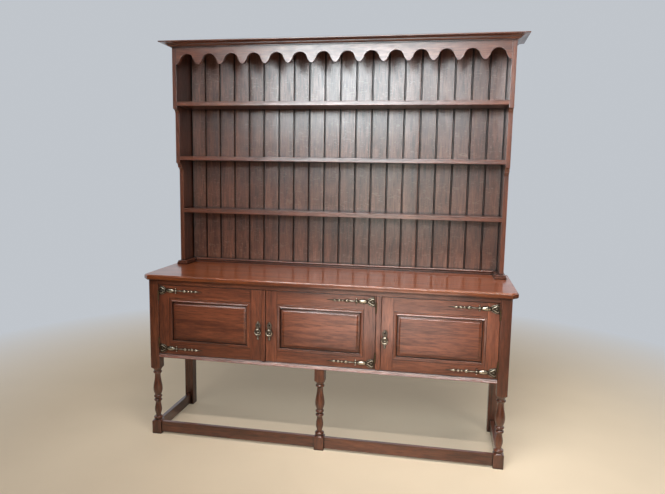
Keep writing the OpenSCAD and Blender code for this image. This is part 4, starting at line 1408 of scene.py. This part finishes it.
@dataclass
class Cornice(Assembly):
    """Moulding round the top of the rack.

    Attributes:
        side: Outer face of the rack, from which the returns stand out.
        front: Front of the rack.
        back: Back of the returns.
        foot: Lower edge of the moulding.
        out: How far it stands out.
        height: Its height.
        ease: How far its top edges are taken down.
        fillet: Size of the fillet at its foot, in shares of out and height, as is all that follows.
        cove: Start and size of the cove.
        step: Distance out of the step, with its lower and upper edge.
        ovolo: Start and size of the ovolo.
        brow: Heights between which the top edge swells out.
    """

    side: float = 864.0
    front: float = 53.0
    back: float = 250.0
    foot: float = 1979.0
    out: float = 52.0
    height: float = 25.0
    ease: float = 0.9
    fillet: Point2 = (0.12, 0.16)
    cove: tuple[Point2, Point2] = ((0.15, 0.16), (0.20, 0.28))
    step: Point3 = (0.42, 0.44, 0.54)
    ovolo: tuple[Point2, Point2] = ((0.46, 0.54), (0.42, 0.24))
    brow: Point2 = (0.78, 0.815)

    def section(self) -> list[Point2]:
        """Draws the section as distance out and height.

        Returns:
            A fillet, a cove, a step, an ovolo and the square top edge.
        """
        angles = [math.radians(9 * i) for i in range(11)]
        (x, z), (wide, high) = self.cove
        cove = [(x + wide * math.sin(t), z + high * (1 - math.cos(t))) for t in angles[1:]]
        (x, z), (wide, high) = self.ovolo
        ovolo = [(x + wide * (1 - math.cos(t)), z + high * math.sin(t)) for t in angles]
        step_out, step_low, step_high = self.step
        shares = [(0.0, 0.0), (self.fillet[0], 0.0), self.fillet, *cove, (step_out, step_low),
                  (step_out, step_high), *ovolo]
        p, h = self.out, self.height
        return [*((out * p, up * h) for out, up in shares), (p - self.ease, self.brow[0] * h),
                (p, self.brow[1] * h), (p, h - self.ease), (p - self.ease, h), (0.0, h)]

    def build(self) -> None:
        """Runs the front length and the two returns, mitred at the corners."""
        left, right = ((side * self.side, self.front, self.foot) for side, _ in SIDES)
        run = moulded(self.section(), left, right, (-1, -1, 0), (1, -1, 0), (0, 0, 1))
        self.fit("cornice_moulding_front", [run], self.finishes.rack, "cornice_front")
        for (side, name), corner in zip(SIDES, (left, right)):
            run = moulded(self.section(), corner, (corner[0], self.back, self.foot),
                          (side, -1, 0), (side, 0, 0), (0, 0, 1))
            nodes = ["cornice_returns"] if side > 0 else []
            self.fit(f"cornice_return_{name}", [run], self.finishes.rack, *nodes, grain=Grain.Y)


# ---- doors --------------------------------------------------------------------------------------


@dataclass
class StrapPlate:
    """Cast ornamental strap: leaf scroll, oval boss, cross lobes, rod, cup, beads and point.

    Attributes:
        web: Upper half of the thin plate's outline, on which all the rest is cast.
        web_thickness: Its thickness.
        axis_height: Height of the turned part's axis over the door.
        turning: Places along the strap with the radius of the turned part.
        scrolls: Middle lines of the scrolls above the axis, with the radius of the bar.
        scroll_height: Height of those lines over the door.
        scroll_taper: How much a bar thins to its ends, and where it is thickest, from 0 to 2.
        lobe: Place of the cross lobes, along and across the strap.
        lobe_size: Half their length and half their width.
        lobe_height: Their height.
        arm: Bar from the axis to a lobe, as distance across with its radius.
        bosses: Middle, half sizes, height, rows and sides of each boss on the axis.
    """

    web: tuple[Point2, ...] = (
        (4.0, 0.0), (4.0, 22.8), (7.0, 23.8), (12.0, 22.0), (17.0, 22.4), (23.0, 20.4), (29.0, 17.6),
        (34.0, 15.6), (38.0, 11.6), (41.0, 7.6), (44.0, 8.6), (50.0, 10.6), (57.0, 11.6), (65.0, 11.6),
        (73.0, 10.6), (80.0, 8.4), (85.0, 6.2), (88.0, 6.4), (89.4, 11.6), (92.2, 14.6), (95.0, 11.6),
        (96.4, 5.4), (100.0, 3.6), (113.0, 3.4), (125.0, 4.2), (130.0, 6.4), (135.0, 9.0), (141.0, 9.2),
        (146.0, 5.0), (151.0, 3.2), (158.5, 5.8), (165.0, 3.2), (174.5, 7.2), (183.0, 3.4), (188.0, 4.2),
        (194.5, 7.2), (202.0, 3.6), (212.0, 2.6), (224.0, 1.6), (232.3, 0.4))
    web_thickness: float = 1.1
    axis_height: float = 1.2
    turning: tuple[Point2, ...] = (
        (86.0, 1.2), (87.6, 3.4), (90.0, 4.4), (92.2, 4.6), (94.0, 3.8), (95.6, 2.2), (98.0, 1.8),
        (104.0, 2.1), (111.0, 2.6), (117.0, 2.9), (122.0, 2.4), (127.0, 2.0), (129.0, 3.2), (131.0, 4.0),
        (133.0, 5.8), (136.0, 7.2), (139.4, 7.4), (142.0, 5.8), (144.0, 3.2), (146.5, 1.5), (151.0, 1.4),
        (154.0, 2.8), (156.2, 4.4), (159.0, 4.8), (161.6, 3.6), (163.6, 1.6), (167.0, 1.4), (169.4, 3.4),
        (171.8, 5.4), (175.0, 6.0), (178.0, 4.8), (180.6, 2.2), (184.0, 1.4), (188.0, 1.8), (190.2, 4.2),
        (192.6, 5.9), (196.0, 6.0), (199.0, 4.4), (203.0, 2.6), (210.0, 1.7), (220.0, 1.2),
        (229.0, 0.8), (232.0, 0.25))
    scrolls: tuple[tuple[tuple[Point2, ...], float], ...] = (
        (((37.0, 2.8), (32.0, 4.6), (27.0, 7.2), (22.0, 10.4), (17.0, 13.4), (12.6, 14.8), (9.2, 13.6),
          (8.4, 10.8), (10.4, 9.0)), 3.1),
        (((41.0, 8.6), (34.0, 13.4), (27.0, 17.0), (19.0, 20.0), (10.0, 21.8)), 2.1))
    scroll_height: float = 1.3
    scroll_taper: Point2 = (0.45, 0.9)
    lobe: Point2 = (92.2, 11.4)
    lobe_size: Point2 = (3.4, 3.6)
    lobe_height: float = 5.2
    arm: tuple[Point2, ...] = ((2.0, 1.5), (5.0, 1.1), (9.0, 1.4))
    bosses: tuple[tuple[Point2, Point2, float, int, int], ...] = (
        ((62.5, 0.0), (23.5, 10.8), 2.2, 4, 40), ((62.5, 0.0), (22.2, 9.6), 6.0, 8, 40),
        ((17.0, 0.0), (8.0, 2.6), 3.0, 5, 24), ((214.0, 0.0), (1.8, 1.8), 2.3, 3, 12))

    def scroll(self, line: Sequence[Point2], radius: float, side: int) -> Shape:
        """Casts one bar of the leaf scroll, which swells in the middle.

        Args:
            line: Its middle line above the axis.
            radius: Its largest radius.
            side: 1 above the axis, -1 below it.

        Returns:
            The bar.
        """
        last = len(line) - 1
        thinned, thickest = self.scroll_taper
        radii = [radius * (1.0 - thinned * abs(2.0 * k / last - thickest)) for k in range(last + 1)]
        return tube([(u, side * w, self.scroll_height) for u, w in line], radii, depth=0.95)

    def shapes(self) -> list[Shape]:
        """Casts the strap.

        Returns:
            Shapes with u along the strap, w across it and their height above the door as z.
        """
        outline = [*self.web, *((u, -w) for u, w in self.web[:0:-1])]
        rod = placed(spun(self.turning, depth=0.85, sides=16), Matrix.Translation((0, 0, self.axis_height)))
        made = [sawn(outline, self.web_thickness, ease=0.35), rod]
        lobe_u, lobe_w = self.lobe
        for side in (-1, 1):
            made += [self.scroll(line, radius, side) for line, radius in self.scrolls]
            made.append(dome((lobe_u, side * lobe_w), self.lobe_size, self.lobe_height, 5, 16))
            made.append(tube([(lobe_u, side * w, self.axis_height) for w, _ in self.arm],
                             [radius for _, radius in self.arm], depth=0.9))
        return made + [dome(*boss) for boss in self.bosses]


@dataclass
class HandlePlate:
    """Cast back plate of a ring pull, with a keyhole above the ring.

    Attributes:
        half_widths: Height and half width of the plate, from the foot up.
        thickness: Thickness of the plate.
        rim: Radius of the bead along its edge, how far it is set in, and its least half width.
        rim_height: Height of the bead's middle over the door.
        keyhole: Height of the keyhole.
        key_radius: Radius of its round part.
        slit: Half width and length of its slit.
        cut_height: How high over the door the keyhole's tools reach.
        collar: Radius of the collar round the keyhole, and of its bar.
        collar_foot: Foot of the collar, as distances from the keyhole.
        knobs: Distance from the plate's middle, height, radius and rise of each knob.
        knuckle: Height of the ring's pin.
        ring_out: How far the pin stands out from the door.
        lug: Half the length of the lug that carries the pin.
        lug_radius: Radius of the lug's eye.
        neck: Half the height of the lug's neck, and how high over the door it starts.
        pin: Radius of the bore for the pin.
    """

    half_widths: tuple[Point2, ...] = (
        (536.3, 1.2), (537.2, 3.6), (539.4, 5.6), (542.6, 6.3), (545.8, 5.2), (548.0, 3.6), (550.6, 3.2),
        (553.0, 4.6), (555.4, 7.6), (558.6, 10.6), (562.6, 12.9), (567.0, 14.1), (571.0, 14.4),
        (575.0, 14.1), (579.4, 12.7), (583.2, 10.2), (586.4, 7.8), (590.0, 6.7), (593.6, 7.2),
        (596.8, 9.2), (600.4, 11.3), (604.6, 12.4), (609.0, 12.6), (613.4, 11.7), (617.0, 9.6),
        (618.6, 7.0), (620.0, 5.9), (622.6, 5.0), (624.8, 3.4), (626.1, 1.2))
    thickness: float = 1.7
    rim: Point3 = (0.85, 1.3, 0.4)
    rim_height: float = 1.6
    keyhole: float = 610.95
    key_radius: float = 3.8
    slit: Point2 = (1.7, 11.0)
    cut_height: float = 5.0
    collar: Point2 = (5.4, 0.9)
    collar_foot: tuple[Point2, ...] = ((-2.8, -11.6), (0.0, -13.4), (2.8, -11.6))
    knobs: tuple[Four, ...] = (
        (0.0, 570.95, 6.4, 2.9), (0.0, 570.95, 4.6, 4.8), (0.0, 542.6, 3.8, 3.2), (0.0, 551.2, 1.7, 2.6),
        (0.0, 621.2, 2.4, 3.0), (7.6, 602.8, 1.6, 2.8), (-7.6, 602.8, 1.6, 2.8), (8.2, 557.6, 1.5, 2.6),
        (-8.2, 557.6, 1.5, 2.6))
    knuckle: float = 588.45
    ring_out: float = 8.5
    lug: float = 4.5
    lug_radius: float = 4.0
    neck: Point2 = (3.0, 1.0)
    pin: float = 2.0

    def plate(self) -> list[Shape]:
        """Casts the plate with its keyhole, its edge bead and the keyhole's collar.

        Returns:
            Shapes with x across the plate, y up it and their height above the door as z.
        """
        outline = [(w, z) for z, w in self.half_widths] + [(-w, z) for z, w in self.half_widths[::-1]]
        wide, long = self.slit
        cuts = [drilled((0, self.keyhole, -OVERRUN), self.key_radius, self.cut_height + OVERRUN, Grain.Z),
                plank((-wide, self.keyhole - long, -OVERRUN), (wide, self.keyhole, self.cut_height), 0.0)]
        bar, inset, least = self.rim
        rim = [(max(w - inset, least), z) for z, w in self.half_widths]
        edge = [(x, z, self.rim_height) for x, z in [*rim, *((-x, z) for x, z in rim[::-1])]]
        radius, collar_bar = self.collar
        collar = arc((0.0, self.keyhole), radius, -50.0, 230.0, 18)
        collar += [(x, self.keyhole + z) for x, z in self.collar_foot]
        return [carved(sawn(outline, self.thickness, ease=0.5), cuts),
                tube(edge, [bar] * len(edge), 1.0, 8, True),
                tube([(x, z, self.thickness) for x, z in collar], [collar_bar] * len(collar), 0.9, 8, True)]

    def shapes(self) -> list[Shape]:
        """Casts the plate with its knobs and its lug.

        Returns:
            Shapes with x across the plate, y up it and their height above the door as z.
        """
        made = self.plate()
        made += [dome((x, z), (radius, radius), rise, 5, 20) for x, z, radius, rise in self.knobs]
        eye = drilled((-self.lug, self.knuckle, self.ring_out), self.lug_radius, 2 * self.lug, Grain.X)
        half, root = self.neck
        neck = plank((-self.lug, self.knuckle - half, root),
                     (self.lug, self.knuckle + half, self.ring_out), ease=0.4)
        for part in (eye, neck):
            bore = drilled((-self.lug - OVERRUN, self.knuckle, self.ring_out), self.pin,
                           2 * (self.lug + OVERRUN), Grain.X)
            made.append(carved(part, [bore]))
        return made


@dataclass
class Door(Assembly):
    """Panelled door with its brasses.

    Attributes:
        name: Which door.
        left: Its left edge.
        hang: Edge that its hinges are on.
        plate: Middle of its handle plate.
        bead: Left edge of a closing bead on the right stile, or None.
        hinges: Where the hinges are let in.
        strap: The strap plates.
        handle: The handle plate.
        width: Its width.
        foot: Its lower edge.
        top: Its upper edge.
        face: Its front face.
        thickness: Its thickness.
        stile: Width of a stile.
        top_rail: Height of the top rail.
        bottom_rail: Height of the bottom rail.
        edge_round: How far its outer edges are rounded.
        joint_round: How far the edges along its joints are rounded.
        key_radius: Radius of the key's bore.
        key_depth: Length of the bit that bores it where a lock is behind it, OVERRUN included.
        dummy_depth: The same where no lock is.
        fielding: Section of the panel, as distance in from the opening and depth.
        moulding_section: Section of the moulding round the panel, as distance in and height.
        bead_section: Section of the closing bead, as distance across and height.
        strap_drop: How far the middle of the upper strap plate lies below the upper edge.
    """

    name: str
    left: float
    hang: Hang
    plate: float
    bead: float | None = None
    hinges: HingePlaces = field(default_factory=HingePlaces)
    strap: StrapPlate = field(default_factory=StrapPlate)
    handle: HandlePlate = field(default_factory=HandlePlate)
    width: float = 533.5
    foot: float = 430.5
    top: float = 782.0
    face: float = -224.0
    thickness: float = 20.0
    stile: float = 56.0
    top_rail: float = 65.0
    bottom_rail: float = 55.0
    edge_round: float = 1.9
    joint_round: float = 0.5
    key_radius: float = 4.0
    key_depth: float = 22.0
    dummy_depth: float = 7.0
    fielding: tuple[Point2, ...] = (
        (-6.0, -209.5), (-6.0, -215.0), (17.5, -215.0), (18.6, -217.2), (19.2, -218.0), (20.0, -218.4),
        (25.8, -218.5), (26.4, -218.7), (32.8, -222.95), (33.4, -223.3), (35.0, -223.5))
    moulding_section: tuple[Point2, ...] = (
        (0.0, -9.0), (0.0, -1.8), (1.3, -1.8), (1.6, -0.2), (2.2, 0.2), (3.2, 0.3), (10.2, -0.5),
        (10.7, -0.4), (15.0, 2.4), (15.4, 2.6), (16.0, 2.4), (16.4, 1.9), (16.6, 1.2), (16.8, -9.0))
    bead_section: tuple[Point2, ...] = (
        (0.0, 0.5), (0.3, 1.6), (1.0, 2.6), (2.2, 3.2), (4.0, 3.5), (18.6, 3.9), (20.0, 3.5),
        (21.1, 2.6), (21.8, 1.4), (22.0, 0.5))
    strap_drop: float = 27.0

    @property
    def body(self) -> str:
        """Body that the door moves with."""
        return f"door_{self.name}"

    @property
    def right(self) -> float:
        """Its right edge."""
        return self.left + self.width

    @property
    def opening(self) -> Four:
        """Left, right, lower and upper edge of the panel opening."""
        return (self.left + self.stile, self.right - self.stile,
                self.foot + self.bottom_rail, self.top - self.top_rail)

    def frame(self) -> None:
        """Joins the stiles and rails, with the hinges let in and the keyhole bored."""
        x0, x1, z0, z1 = self.opening
        back = self.face + self.thickness
        outer, joint = self.edge_round, self.joint_round
        on_left = self.hang is Hang.LEFT
        pin = self.left - self.hinges.gap / 2 if on_left else self.right + self.hinges.gap / 2
        piece = Workpiece(f"{self.body}_stiles_and_rails")
        for low, high in ((self.left, x0), (x1, self.right)):
            leftmost = low < x0
            rounds = (outer, joint) if leftmost else (joint, outer)
            stile = fronted((low, self.face, self.foot), (high, back, self.top), (*rounds, outer, outer))
            if leftmost == on_left:
                cuts = self.hinges.recesses(pin, self.hang.value)
            else:
                cuts = [drilled((self.plate, self.face - OVERRUN, self.handle.keyhole), self.key_radius,
                                self.dummy_depth if on_left else self.key_depth, Grain.Y)]
            piece.add(carved(stile, cuts), Grain.Z)
        for low, high in ((self.foot, z0), (z1, self.top)):
            rounds = (outer, joint) if low < z0 else (joint, outer)
            piece.add(fronted((x0, self.face, low), (x1, back, high), (joint, joint, *rounds)))
        self.shop.deliver(piece, self.body, self.finishes.case, f"{self.body}_frame")

    def panel(self) -> None:
        """Raises and fields the panel."""
        x0, x1, z0, z1 = self.opening
        board = lofted([[(x0 + i, y, z0 + i), (x1 - i, y, z0 + i), (x1 - i, y, z1 - i), (x0 + i, y, z1 - i)]
                        for i, y in self.fielding])
        self.fit(f"{self.body}_fielded_panel", [board], self.finishes.case, f"{self.body}_panel")

    def moulding(self) -> None:
        """Runs the four mitred lengths round the panel."""
        x0, x1, z0, z1 = self.opening
        corners = [(x0, z0, 1, 1), (x1, z0, -1, 1), (x1, z1, -1, -1), (x0, z1, 1, -1)]
        piece = Workpiece(f"{self.body}_panel_moulding")
        for k, (x, z, out_x, out_z) in enumerate(corners):
            far_x, far_z, far_out_x, far_out_z = corners[(k + 1) % 4]
            piece.add(moulded(self.moulding_section, (x, self.face, z), (far_x, self.face, far_z),
                              (out_x, 0, out_z), (far_out_x, 0, far_out_z), (0, -1, 0)),
                      Grain.X if k % 2 == 0 else Grain.Z)
        self.shop.deliver(piece, self.body, self.finishes.case, f"{self.body}_moulding")

    def closing_bead(self, x: float) -> None:
        """Runs the bead that closes against the next door.

        Args:
            x: Its left edge.
        """
        back = self.face + self.thickness
        section = [(0.0, back), *((out, self.face - up) for out, up in self.bead_section),
                   (self.bead_section[-1][0], back)]
        bead = moulded(section, (x, 0, self.foot), (x, 0, self.top), (1, 0, 0), (1, 0, 0), (0, 1, 0))
        self.fit(f"{self.body}_closing_bead", [bead], self.finishes.case, f"{self.body}_bead", grain=Grain.Z)

    def brasses(self) -> None:
        """Screws on the strap plates, the handle plate and the small brass parts."""
        edge = self.left if self.hang is Hang.LEFT else self.right
        straps = [placed(shape, facing_front(edge, self.face, z, self.hang.value))
                  for z in (self.top - self.strap_drop, self.foot + self.bottom_rail / 2)
                  for shape in self.strap.shapes()]
        self.fit(f"{self.body}_cast_straps", straps, self.finishes.brass, f"{self.body}_straps")
        plate = [placed(shape, facing_front(self.plate, self.face, 0.0)) for shape in self.handle.shapes()]
        self.fit(f"{self.body}_cast_plate", plate, self.finishes.plate, f"{self.body}_handle_plate")
        self.shop.dress(f"{self.body}_ring", self.finishes.ring)
        hidden = ["lock", "lock_bolt"] if self.bead is None else ["bolt_staples", "bolt"]
        for part in ("hinge_leaves", *hidden):
            self.shop.dress(f"{self.body}_{part}", self.finishes.browned)

    def build(self) -> None:
        """Makes the whole door."""
        self.frame()
        self.panel()
        self.moulding()
        if self.bead is not None:
            self.closing_bead(self.bead)
        self.brasses()


# ---- studio -------------------------------------------------------------------------------------

WHITE = (1.0, 1.0, 1.0)
WARM_WHITE = (1.0, 0.95, 0.92)


@dataclass(frozen=True)
class SoftLamp:
    """Large soft lamp.

    Attributes:
        name: Its name.
        place: Where it hangs, in metres.
        target: What it points at, in metres.
        size: Its width and height, in metres.
        level: Its brightness, where a white surface lit only by it all round would be this bright.
        tint: Colour of its light.
        spread: Angle of its grid, in degrees.
    """

    name: str
    place: Point3
    target: Point3
    size: Point2
    level: float
    tint: Colour = WHITE
    spread: float = 180.0

    def hang(self) -> None:
        """Hangs the lamp."""
        light = bpy.data.lights.new(self.name, "AREA")
        light.shape = "RECTANGLE"
        light.size, light.size_y = self.size
        light.energy = self.level * math.pi * self.size[0] * self.size[1]
        light.color = self.tint
        light.spread = math.radians(self.spread)
        lamp = bpy.data.objects.new(self.name, light)
        lamp.location = self.place
        lamp.rotation_euler = (Vector(self.target) - Vector(self.place)).to_track_quat("-Z", "Y").to_euler()
        lamp.visible_camera = False
        bpy.context.scene.collection.objects.link(lamp)


@dataclass
class Studio:
    """Pale floor, soft light and camera.

    Attributes:
        lamps: The lamps.
        ambient: Strength of the light from all round.
        sky: Colour of that light.
        backdrop: Colour that is seen behind the dresser.
        floor: Colour of the floor.
        reach: Half the side of the floor, in metres.
        fade: Distances from the middle, in metres, over which the floor goes over into the backdrop.
        lift: Share of the backdrop's colour in the floor round the dresser.
        floor_behind: Depths, in metres, over which the floor starts to be mirrored as backdrop.
        sky_behind: Backward parts of a direction over which the backdrop starts to be mirrored.
        eye: Place of the camera, in metres.
        turn: Angle by which the camera looks left.
        dip: Angle by which it looks down.
        roll: Angle by which it is rolled.
        lens: Focal length for the sensor.
        sensor: Width of the sensor, in millimetres.
    """

    lamps: tuple[SoftLamp, ...] = (
        SoftLamp("window", (-0.33, -3.10, 2.26), (1.1, 0.24, 1.9), (1.8, 0.9), 6.2,
                 (0.86, 0.96, 1.0), 84.0),
        SoftLamp("low_window", (0.0, -3.10, 1.05), (0.4, 0.24, 1.1), (0.8, 0.9), 1.2,
                 (0.9, 1.0, 0.9), 90.0),
        SoftLamp("floor_glow", (0.10, -2.35, 0.05), (0.10, -2.0, 1.5), (1.3, 1.3), 6.0,
                 (1.0, 0.80, 0.71), 150.0),
        SoftLamp("long_strip", (0.05, -1.9, 2.9), (0.05, -0.22, 0.7), (2.5, 0.11), 15.0, WARM_WHITE, 96.0),
        SoftLamp("left_strip", (-1.65, -1.9, 2.9), (-1.65, -0.22, 0.7), (0.9, 0.08), 8.5, WARM_WHITE, 84.0),
        SoftLamp("overhead", (0.9, -1.0, 2.9), (0.9, -0.3, 0.6), (2.4, 0.25), 9.0, WARM_WHITE, 84.0),
        SoftLamp("side_left", (-2.9, 1.0, 2.0), (-0.8, 0.1, 1.1), (1.2, 1.6), 1.3),
        SoftLamp("side_right", (2.9, 1.4, 1.9), (0.8, 0.1, 1.1), (1.2, 1.6), 2.0),
        SoftLamp("rear", (0.0, 3.0, 3.1), (0.0, 0.25, 1.75), (1.8, 0.8), 2.2, WHITE, 46.0))
    ambient: float = 0.03
    sky: Colour = (0.96, 0.98, 1.0)
    backdrop: Colour = (0.53, 0.56, 0.60)
    floor: Colour = (0.76, 0.63, 0.46)
    reach: float = 9.0
    fade: Point2 = (1.5, 3.2)
    lift: float = 0.2
    floor_behind: Point2 = (0.5, 1.5)
    sky_behind: Point2 = (0.15, 0.6)
    eye: Point3 = (0.55552, -2.90352, 1.35861)
    turn: float = 10.6004
    dip: float = 7.3712
    roll: float = 0.9479
    lens: float = 31.918
    sensor: float = 36.0

    def floor_finish(self) -> bpy.types.Material:
        """Makes the floor's material.

        Returns:
            The material: pale round the dresser, and further out the backdrop's colour.
        """
        recipe = Recipe("pale_floor")
        place = recipe.place()
        cloud = recipe.noise(place, scale=1.6, detail=3.0)
        colour = recipe.blend(1.0, self.floor, recipe.ramp(cloud, [(0.3, 0.96), (0.7, 1.04)]), "MULTIPLY")
        laid = recipe.step("ShaderNodeBsdfPrincipled", {"Base Color": colour, "Roughness": 0.55})
        distance = recipe.step("ShaderNodeVectorMath", {0: place}, operation="LENGTH").outputs["Value"]
        glow = recipe.blend(recipe.spread(distance, 0.0, 1.0, *self.fade), self.floor, self.backdrop)
        pale = recipe.step("ShaderNodeEmission", {0: glow})
        behind = recipe.spread(recipe.part(place, 1), 0.0, 1.0, *self.floor_behind)
        share = recipe.product(recipe.spread(distance, self.lift, 1.0, *self.fade),
                               self.shown(recipe, behind))
        both = recipe.step("ShaderNodeMixShader", {0: share, 1: laid.outputs[0], 2: pale.outputs[0]})
        recipe.step("ShaderNodeOutputMaterial", {0: both.outputs[0]})
        return recipe.material

    def lay_floor(self) -> None:
        """Lays the floor."""
        shape = bmesh.new()
        bmesh.ops.create_grid(shape, x_segments=1, y_segments=1, size=self.reach)
        mesh = bpy.data.meshes.new("studio_floor")
        shape.to_mesh(mesh)
        shape.free()
        mesh.materials.append(self.floor_finish())
        ground = bpy.data.objects.new("studio_floor", mesh)
        bpy.context.scene.collection.objects.link(ground)
        ground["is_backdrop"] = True

    def shown(self, recipe: Recipe, behind: Socket) -> Socket:
        """Tells where the pale backdrop shows.

        Args:
            recipe: Recipe of the floor or the world.
            behind: 1 behind the dresser, where polish and brass mirror the backdrop, and 0 before it.

        Returns:
            1 where it shows, and 0 for the light that it would shed.
        """
        path = recipe.step("ShaderNodeLightPath")
        mirrored = recipe.reckon("MAXIMUM", path.outputs["Is Glossy Ray"],
                                 path.outputs["Is Transmission Ray"])
        return recipe.reckon("MAXIMUM", path.outputs["Is Camera Ray"], recipe.product(mirrored, behind))

    def light(self) -> None:
        """Sets the light from all round and hangs the lamps."""
        world = bpy.data.worlds.new("studio")
        world.use_nodes = True
        bpy.context.scene.world = world
        recipe = Recipe("studio", world)
        towards = recipe.step("ShaderNodeTexCoord").outputs["Generated"]
        share = self.shown(recipe, recipe.spread(recipe.part(towards, 1), 0.0, 1.0, *self.sky_behind))
        seen = recipe.step("ShaderNodeBackground", {0: (*self.backdrop, 1.0)})
        around = recipe.step("ShaderNodeBackground", {0: (*self.sky, 1.0), 1: self.ambient})
        either = recipe.step("ShaderNodeMixShader", {0: share, 1: around.outputs[0], 2: seen.outputs[0]})
        recipe.step("ShaderNodeOutputWorld", {0: either.outputs[0]})
        for lamp in self.lamps:
            lamp.hang()

    def place_camera(self) -> None:
        """Stands the camera in front of the dresser."""
        turn, dip, roll = (math.radians(a) for a in (self.turn, -self.dip, self.roll))
        ahead = Vector((-math.sin(turn) * math.cos(dip), math.cos(turn) * math.cos(dip), math.sin(dip)))
        right = Vector((math.cos(turn), math.sin(turn), 0.0))
        up = right.cross(ahead)
        rolled_right = math.cos(roll) * right + math.sin(roll) * up
        rolled_up = math.cos(roll) * up - math.sin(roll) * right
        lens = bpy.data.cameras.new("camera")
        lens.sensor_width = self.sensor
        lens.sensor_fit = "HORIZONTAL"
        lens.lens = self.lens
        camera = bpy.data.objects.new("camera", lens)
        axes = Matrix((rolled_right, rolled_up, -ahead)).transposed()
        camera.matrix_world = Matrix.Translation(self.eye) @ axes.to_4x4()
        bpy.context.scene.collection.objects.link(camera)
        bpy.context.scene.camera = camera

    def build(self) -> None:
        """Sets up the studio."""
        self.place_camera()
        self.lay_floor()
        self.light()
        bpy.context.scene.view_settings.view_transform = "Standard"


def plain(value: Any) -> Any:
    """Turns a number, a vector or a sequence of either into plain numbers and lists."""
    return float(value) if isinstance(value, (int, float)) else [plain(part) for part in value]


def main() -> None:
    """Builds the dresser in its studio."""
    logging.basicConfig(level=logging.INFO, format="%(message)s", stream=sys.stdout)
    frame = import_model()
    packed = plain(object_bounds())
    Studio().build()
    shop = Workshop(frame, Palette())
    for assembly in (Base(shop), Worktop(shop), PlateRack(shop), Cornice(shop),
                     Door(shop, "left", -825.5, Hang.LEFT, -308.0, bead=-292.0),
                     Door(shop, "middle", -268.5, Hang.RIGHT, -250.5),
                     Door(shop, "right", 292.0, Hang.RIGHT, 310.0)):
        assembly.build()
    shop.check()
    {"cad": packed, "visual": plain(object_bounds())}


if __name__ == "__main__":
    main()
